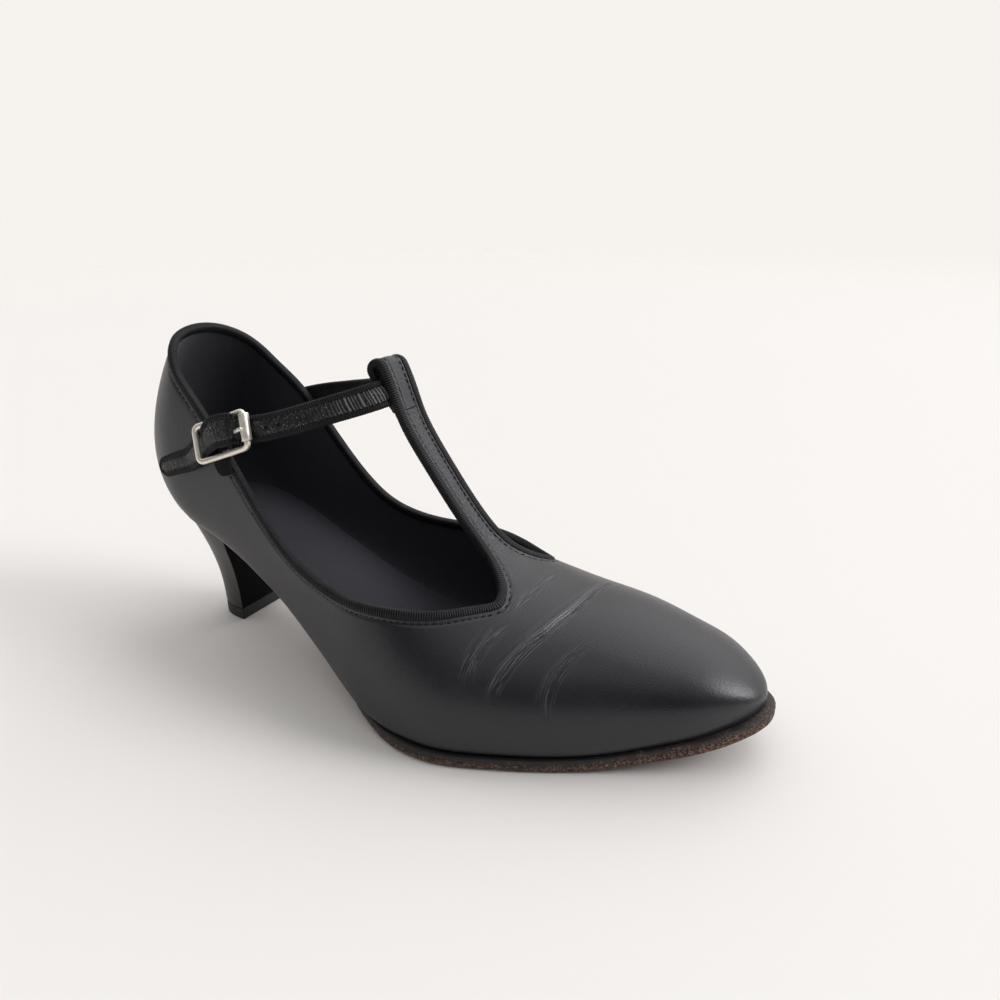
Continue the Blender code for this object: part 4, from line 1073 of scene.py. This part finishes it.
front_bar = BUCKLE_LENGTH / 2
top_bar = BUCKLE_HEIGHT / 2
frame_corners = []
for quarter, (sign_along, sign_across) in enumerate(((1, 1), (-1, 1), (-1, -1), (1, -1))):
    for angle in np.linspace(quarter, quarter + 1, CORNER_STEPS) * math.pi / 2:
        frame_corners.append((sign_along * (front_bar - BUCKLE_CORNER) + BUCKLE_CORNER * math.cos(angle),
                              sign_across * (top_bar - BUCKLE_CORNER) + BUCKLE_CORNER * math.sin(angle)))
frame_corners = np.array(frame_corners + frame_corners[:1])
frame_runs = run_along(frame_corners)
frame_at = np.linspace(0.0, frame_runs[-1], int(frame_runs[-1] / WIRE_STEP))[:-1]
frame_along, frame_across = (np.interp(frame_at, frame_runs, values) for values in frame_corners.T)
frame_path = on_buckle(frame_along, frame_across, end_lift(frame_along))
frame_facing = np.tile(off_buckle, (len(frame_path), 1))
frame_wire = wire_outline(WIRE_HALF, WIRE_SIDES, WIRE_SQUARE)
buckle = loft("buckle_wire", sweep(frame_path, frame_facing, frame_wire, True), cyclic=True)
bar_across = np.array([top_bar, top_bar - BAR_BEND * 0.4, top_bar - BAR_BEND])
bar_across = np.concatenate([bar_across, [0.0], -bar_across[::-1]])
bar_off = BAR_OFF * np.array([0.0, 0.6, 1.0, 1.0, 1.0, 0.6, 0.0])
bar_path = fine_path(on_buckle(np.full(len(bar_off), BAR_ALONG), bar_across, bar_off), WIRE_STEP * MM)
bar_facing = np.tile(along_buckle, (len(bar_path), 1))
bar = loft("buckle_bar", sweep(bar_path, bar_facing, wire_outline(BAR_HALF, BAR_SIDES, 2.0)))
select_only(buckle)
bar.select_set(True)
bpy.ops.object.join()
nickel = nickel_material("warm_nickel_plate", NICKEL_COLOURS)
add_piece(buckle, [nickel], "nickel", "buckle_frame")

# Buckle roller: a tube of thin nickel sheet rolled round the front bar, its seam showing as a line.
# It turns loosely on the bar and stops at the frame's corners.
ROLLER_RADIUS = 1.68
ROLLER_HALF = 4.3
ROLLER_SHIFT = 0.55
ROLLER_SIDES = 48
ROLLER_BORE = 1.15
ROLLER_SEAM = (math.radians(62.0), 0.055)
ROLLER_SEAM_DEPTH = 0.22
# Each row: a share of the half length from the middle, and the radius there.
ROLLER_PROFILE = ((1.0, ROLLER_BORE), (1.0, 1.52), (0.985, 1.63), (0.95, ROLLER_RADIUS), (0.6, ROLLER_RADIUS),
                  (0.2, ROLLER_RADIUS))
roller_angles = np.arange(ROLLER_SIDES) * 2 * math.pi / ROLLER_SIDES
roller_seam = bell(roller_angles - ROLLER_SEAM[0], ROLLER_SEAM[1]) * ROLLER_SEAM_DEPTH
roller_rings = []
for side in (-1, 1):
    for share, radius in ROLLER_PROFILE[::-side]:
        reach = radius - roller_seam * (radius > ROLLER_BORE)
        across = np.full(ROLLER_SIDES, ROLLER_SHIFT + side * share * ROLLER_HALF)
        roller_rings.append(on_buckle(front_bar + reach * np.cos(roller_angles), across,
                                      end_lift(front_bar) + reach * np.sin(roller_angles)))
roller = loft("buckle_roller_tube", np.array(roller_rings), cyclic=True)
add_piece(roller, [nickel], "nickel", "buckle_roller")

# Buckle prong: a flat nickel tongue hooked round the middle bar and resting on the roller.
# It is bent from one piece of wire.
PRONG_HALF = (0.62, 0.46)
PRONG_SIDES = 16
PRONG_SQUARE = 2.8
PRONG_STEP = 0.25
PRONG_RING = 1.6
PRONG_HOOK = (-250.0, 65.0)
# The tongue's places past the hook: along from the front bar, and off it.
PRONG_TONGUE = ((-2.2, 1.75), (-0.4, 2.36), (0.7, 2.26))
hook_angles = np.radians(np.linspace(*PRONG_HOOK, 16))
tongue_along, tongue_off = np.transpose(PRONG_TONGUE)
prong_along = np.concatenate([BAR_ALONG + PRONG_RING * np.cos(hook_angles), front_bar + tongue_along])
prong_off = np.concatenate([BAR_OFF + PRONG_RING * np.sin(hook_angles), end_lift(front_bar) + tongue_off])
prong_path = fine_path(on_buckle(prong_along, np.zeros(len(prong_along)), prong_off), PRONG_STEP * MM)
prong_facing = np.cross(unit(np.gradient(prong_path, axis=0)), across_buckle)
prong_outline = wire_outline(PRONG_HALF, PRONG_SIDES, PRONG_SQUARE)
prong = loft("buckle_prong_tongue", sweep(prong_path, prong_facing, prong_outline))
round_off(prong, 0.0, 1)
add_piece(prong, [nickel], "nickel", "buckle_prong")

# Ankle strap: soft leather folded over a core and bound on both edges with the ribbed tape, stitched
# inside the tape, finely pleated across by use. It runs from the inner quarter through the loop and
# the buckle to its rounded end.
LOOP_TUNNEL = np.array([104.51, 0.44, 97.81])
# Each row: a place on the strap's middle line, then the way its outer face looks there.
STRAP_INNER = (((33.0, 27.3, 79.0), (-0.05, 0.97, 0.20)), ((48.0, 27.6, 83.2), (0.08, 0.96, 0.22)),
               ((66.0, 24.5, 87.2), (0.28, 0.92, 0.25)), ((87.0, 16.0, 92.3), (0.50, 0.80, 0.30)),
               (LOOP_TUNNEL + (-0.6, 8.0, -0.4), (0.88, 0.243, 0.408)), (LOOP_TUNNEL, LOOP_FACING),
               (LOOP_TUNNEL + (-0.6, -8.0, -0.4), (0.88, -0.243, 0.408)),
               ((87.0, -16.6, 91.5), (0.45, -0.80, 0.35)))
# Where it threads the buckle, in millimetres along, across and off the buckle's frame
STRAP_THREADED = ((16.7, -1.2, -1.6), (front_bar, -0.3, -1.85), (8.55, -0.2, -1.4), (7.8, -0.15, 0.2),
                  (6.55, -0.1, 2.6), (2.8, 0.3, 2.9), (BAR_ALONG, 0.6, 2.5), (-5.6, 0.4, 1.2),
                  (-8.4, 0.2, -0.7), (-front_bar, 0.0, -1.45))
STRAP_TAIL = (((40.3, -26.6, 74.0), (-0.05, -0.99, 0.10)), ((35.0, -25.4, 70.6), (-0.03, -1.0, 0.05)),
              ((27.2, -25.4, 67.7), (-0.03, -1.0, 0.03)), ((22.4, -25.2, 65.8), (-0.12, -0.99, 0.0)),
              ((18.0, -24.6, 64.1), (-0.30, -0.95, -0.05)))
STRAP_STEP = 0.20
STRAP_HALF = 4.3
STRAP_TAPER = 0.7
STRAP_TIP = 4.5
STRAP_THIN = 0.02
STRAP_RIB = 0.75
STRAP_RIB_DEPTH = 0.22
# Each row: distance in from the strap's edge, height over its middle on the outer face. The first rows are
# the tape, then comes the stitches' groove and the leather.
STRAP_PROFILE = ((0.0, 0.0), (0.10, 0.42), (0.42, 0.78), (0.95, 0.88), (1.40, 0.80), (1.65, 0.56),
                 (1.90, 0.42), (2.15, 0.58), (2.60, 0.78), (3.20, 0.86), (3.60, 0.88), (3.90, 0.88),
                 (4.15, 0.88))
STRAP_TAPE_ROWS = 5
# The ribs stand out sideways up to the first distance from the edge and upwards up to the second, and only
# above a height.
STRAP_RIB_ROWS = (0.5, 1.55, 0.3)
STRAP_LINING = ((3.4, -0.78), (1.5, -0.78), (0.6, -0.70), (0.12, -0.40))
STRAP_PLEAT = 1.15
STRAP_PLEAT_FROM = 2.05
STRAP_PLEAT_WANDER = 0.55
PLEAT_WANDER_RUN = 2.6
PLEAT_SWELL_RUN = 1.9
PLEAT_SWELL = (0.65, 0.6)
STRAP_PLEAT_SLANT = 0.22
STRAP_PLEAT_RUN = (52.0, 66.0, 99.0, 118.0)
STRAP_PLEAT_DEPTH = (0.03, 0.24, 0.24, 0.03)
# How strong the painted highlight on the pleats' crests is along the run.
STRAP_PLEAT_HIGHLIGHT = (0.05, 0.95, 0.85, 0.05)
STRAP_PEBBLES = 0.025
STRAP_HOLES = (126.4, 131.0)
STRAP_HOLE_HALF = 0.62
STRAP_HOLE_DEPTH = 1.0
STRAP_HOLE_FROM = 3.7
# Where it bulges over the buckle's top bar: the run, the half length, the extra half width and the lift.
STRAP_BULGE = (147.9, 6.0, 1.0, 1.25)
STRAP_COLOURS = ((0.0025, 0.0026, 0.0034, 1.0), (0.0080, 0.0082, 0.0098, 1.0))
# The pale grey of the painted highlights and glints on the strap.
STRAP_HIGHLIGHT = (0.74, 0.74, 0.755, 1.0)
STRAP_ROUGHNESS = 0.36
STRAP_GRAIN = 0.60 * MM
STRAP_DEPTH = 0.14 * MM
# How much painted glint is scattered over the strap.
STRAP_GLINTS = 0.32
STRAP_GLEAM = 0.28


def pleat_height(run):
    """Height of the strap's cross pleats, from -1 in the furrows to 1 on the crests."""
    wander = np.array([noise.noise(Vector((at / PLEAT_WANDER_RUN, 3.1, 0.0))) for at in run])
    swell = np.array([noise.noise(Vector((at / PLEAT_SWELL_RUN, 8.7, 0.0))) for at in run])
    folds = np.cos(2 * math.pi * (run / STRAP_PLEAT + STRAP_PLEAT_WANDER * wander))
    return folds * (PLEAT_SWELL[0] + PLEAT_SWELL[1] * swell)


def rounded_end(left):
    """The share of a strap's width that is left at a distance from its rounded end."""
    return np.sqrt(np.clip(1 - (1 - share_between(left, 0.0, STRAP_TIP)) ** 2, 0.01, 1.0))


strap_places = np.concatenate([metres([place for place, _ in STRAP_INNER]),
                               on_buckle(*np.transpose(STRAP_THREADED)),
                               metres([place for place, _ in STRAP_TAIL])])
strap_looks = np.array([look for _, look in STRAP_INNER] + [off_buckle] * len(STRAP_THREADED)
                       + [look for _, look in STRAP_TAIL])
strap_runs = run_along(strap_places)
strap_at = np.arange(0.0, strap_runs[-1], STRAP_STEP * MM)
strap_mm = strap_at / MM
strap_left = strap_runs[-1] / MM - strap_mm
strap_bulge = bell(strap_mm - STRAP_BULGE[0], STRAP_BULGE[1], 4)
strap_path = smooth_between(strap_runs, strap_places, strap_at)
strap_path += np.outer(strap_bulge * STRAP_BULGE[3] * MM, across_buckle)
strap_facing = smooth_between(strap_runs, strap_looks, strap_at)
tail_long = (strap_runs[-1] - strap_runs[-len(STRAP_TAIL) - 1]) / MM
strap_half = STRAP_HALF - STRAP_TAPER * share_between(strap_left, tail_long, 0.0)
strap_half += STRAP_BULGE[2] * strap_bulge
strap_half *= np.minimum(rounded_end(strap_left), rounded_end(strap_mm))
strap_ribs = rib_height(strap_at, STRAP_RIB)
pleat_depth = np.interp(strap_mm, STRAP_PLEAT_RUN, STRAP_PLEAT_DEPTH)
pleat_highlight = np.interp(strap_mm, STRAP_PLEAT_RUN, STRAP_PLEAT_HIGHLIGHT)
strap_hole = sum(bell(strap_mm - hole, STRAP_HOLE_HALF, 4) for hole in STRAP_HOLES) * STRAP_HOLE_DEPTH
strap_rows = []
strap_crest_highlights = []
for side in (1, -1):
    for inset, height in STRAP_PROFILE[::side]:
        rib = STRAP_RIB_DEPTH * (strap_ribs - RIB_MEAN) * (inset < STRAP_RIB_ROWS[1])
        pleat = pleat_height(strap_mm + STRAP_PLEAT_SLANT * side * (STRAP_HALF - inset))
        pleat *= inset > STRAP_PLEAT_FROM
        reach = np.maximum(strap_half - inset + rib * (inset < STRAP_RIB_ROWS[0]), STRAP_THIN)
        rise = height + rib * (height > STRAP_RIB_ROWS[2]) + pleat_depth * pleat
        strap_rows.append((side * reach, rise - strap_hole * (inset > STRAP_HOLE_FROM)))
        # Painted highlight on the pleats' crests.
        strap_crest_highlights.append(np.clip(pleat, 0.0, 1.0) * pleat_highlight)
for side in (-1, 1):
    for inset, height in STRAP_LINING[::side]:
        strap_rows.append((side * np.maximum(strap_half - inset, STRAP_THIN), np.full(len(strap_at), height)))
        strap_crest_highlights.append(np.zeros(len(strap_at)))
strap_outline = np.transpose(strap_rows, (2, 0, 1)) * MM
strap_around = len(strap_rows)
strap = loft("ankle_strap_bound", sweep(strap_path, strap_facing, strap_outline))
leather_from = STRAP_TAPE_ROWS
leather_to = 2 * len(STRAP_PROFILE) - 1 - STRAP_TAPE_ROWS
for polygon in strap.data.polygons[:(len(strap_at) - 1) * strap_around]:
    polygon.material_index = int(leather_from <= polygon.index % strap_around < leather_to)
store(strap, "rib", np.repeat(strap_ribs, strap_around))
store(strap, "crease", np.transpose(strap_crest_highlights))
store(strap, "pebbled", np.full(len(strap.data.vertices), STRAP_PEBBLES))
strap_leather = leather_material("creased_strap_leather", STRAP_COLOURS, STRAP_HIGHLIGHT, STRAP_ROUGHNESS,
                                 STRAP_GRAIN, STRAP_DEPTH, glints=STRAP_GLINTS, gleam=STRAP_GLEAM)
add_piece(strap, [ribbed_tape, strap_leather], "strap_leather", "ankle_strap")

# Ankle strap stitching: a row of black thread inside each of the strap's bound edges. The stitches are
# those of the topline, lying in the groove between the tape and the leather.
STRAP_STITCH_LINE = 1.9
STRAP_STITCH_RISE = 0.44
stitch_at = np.arange(STRAP_TIP * MM, strap_runs[-1] - STRAP_TIP * MM, STITCH_PITCH * MM)
stitch_rings = np.searchsorted(strap_at, stitch_at)
strap_onward = unit(np.gradient(strap_path, axis=0))
strap_up = unit(square_to(strap_facing, strap_onward))
strap_reach = np.cross(strap_up, strap_onward) * (strap_half - STRAP_STITCH_LINE)[:, None] * MM
stitch_base = strap_path + strap_up * STRAP_STITCH_RISE * MM
stitch_places = np.concatenate([(stitch_base + side * strap_reach)[stitch_rings] for side in (1, -1)])
add_stitches("ankle_strap_stitches", stitch_places, np.tile(strap_onward[stitch_rings], (2, 1)),
             np.tile(strap_up[stitch_rings], (2, 1)), "strap_leather")
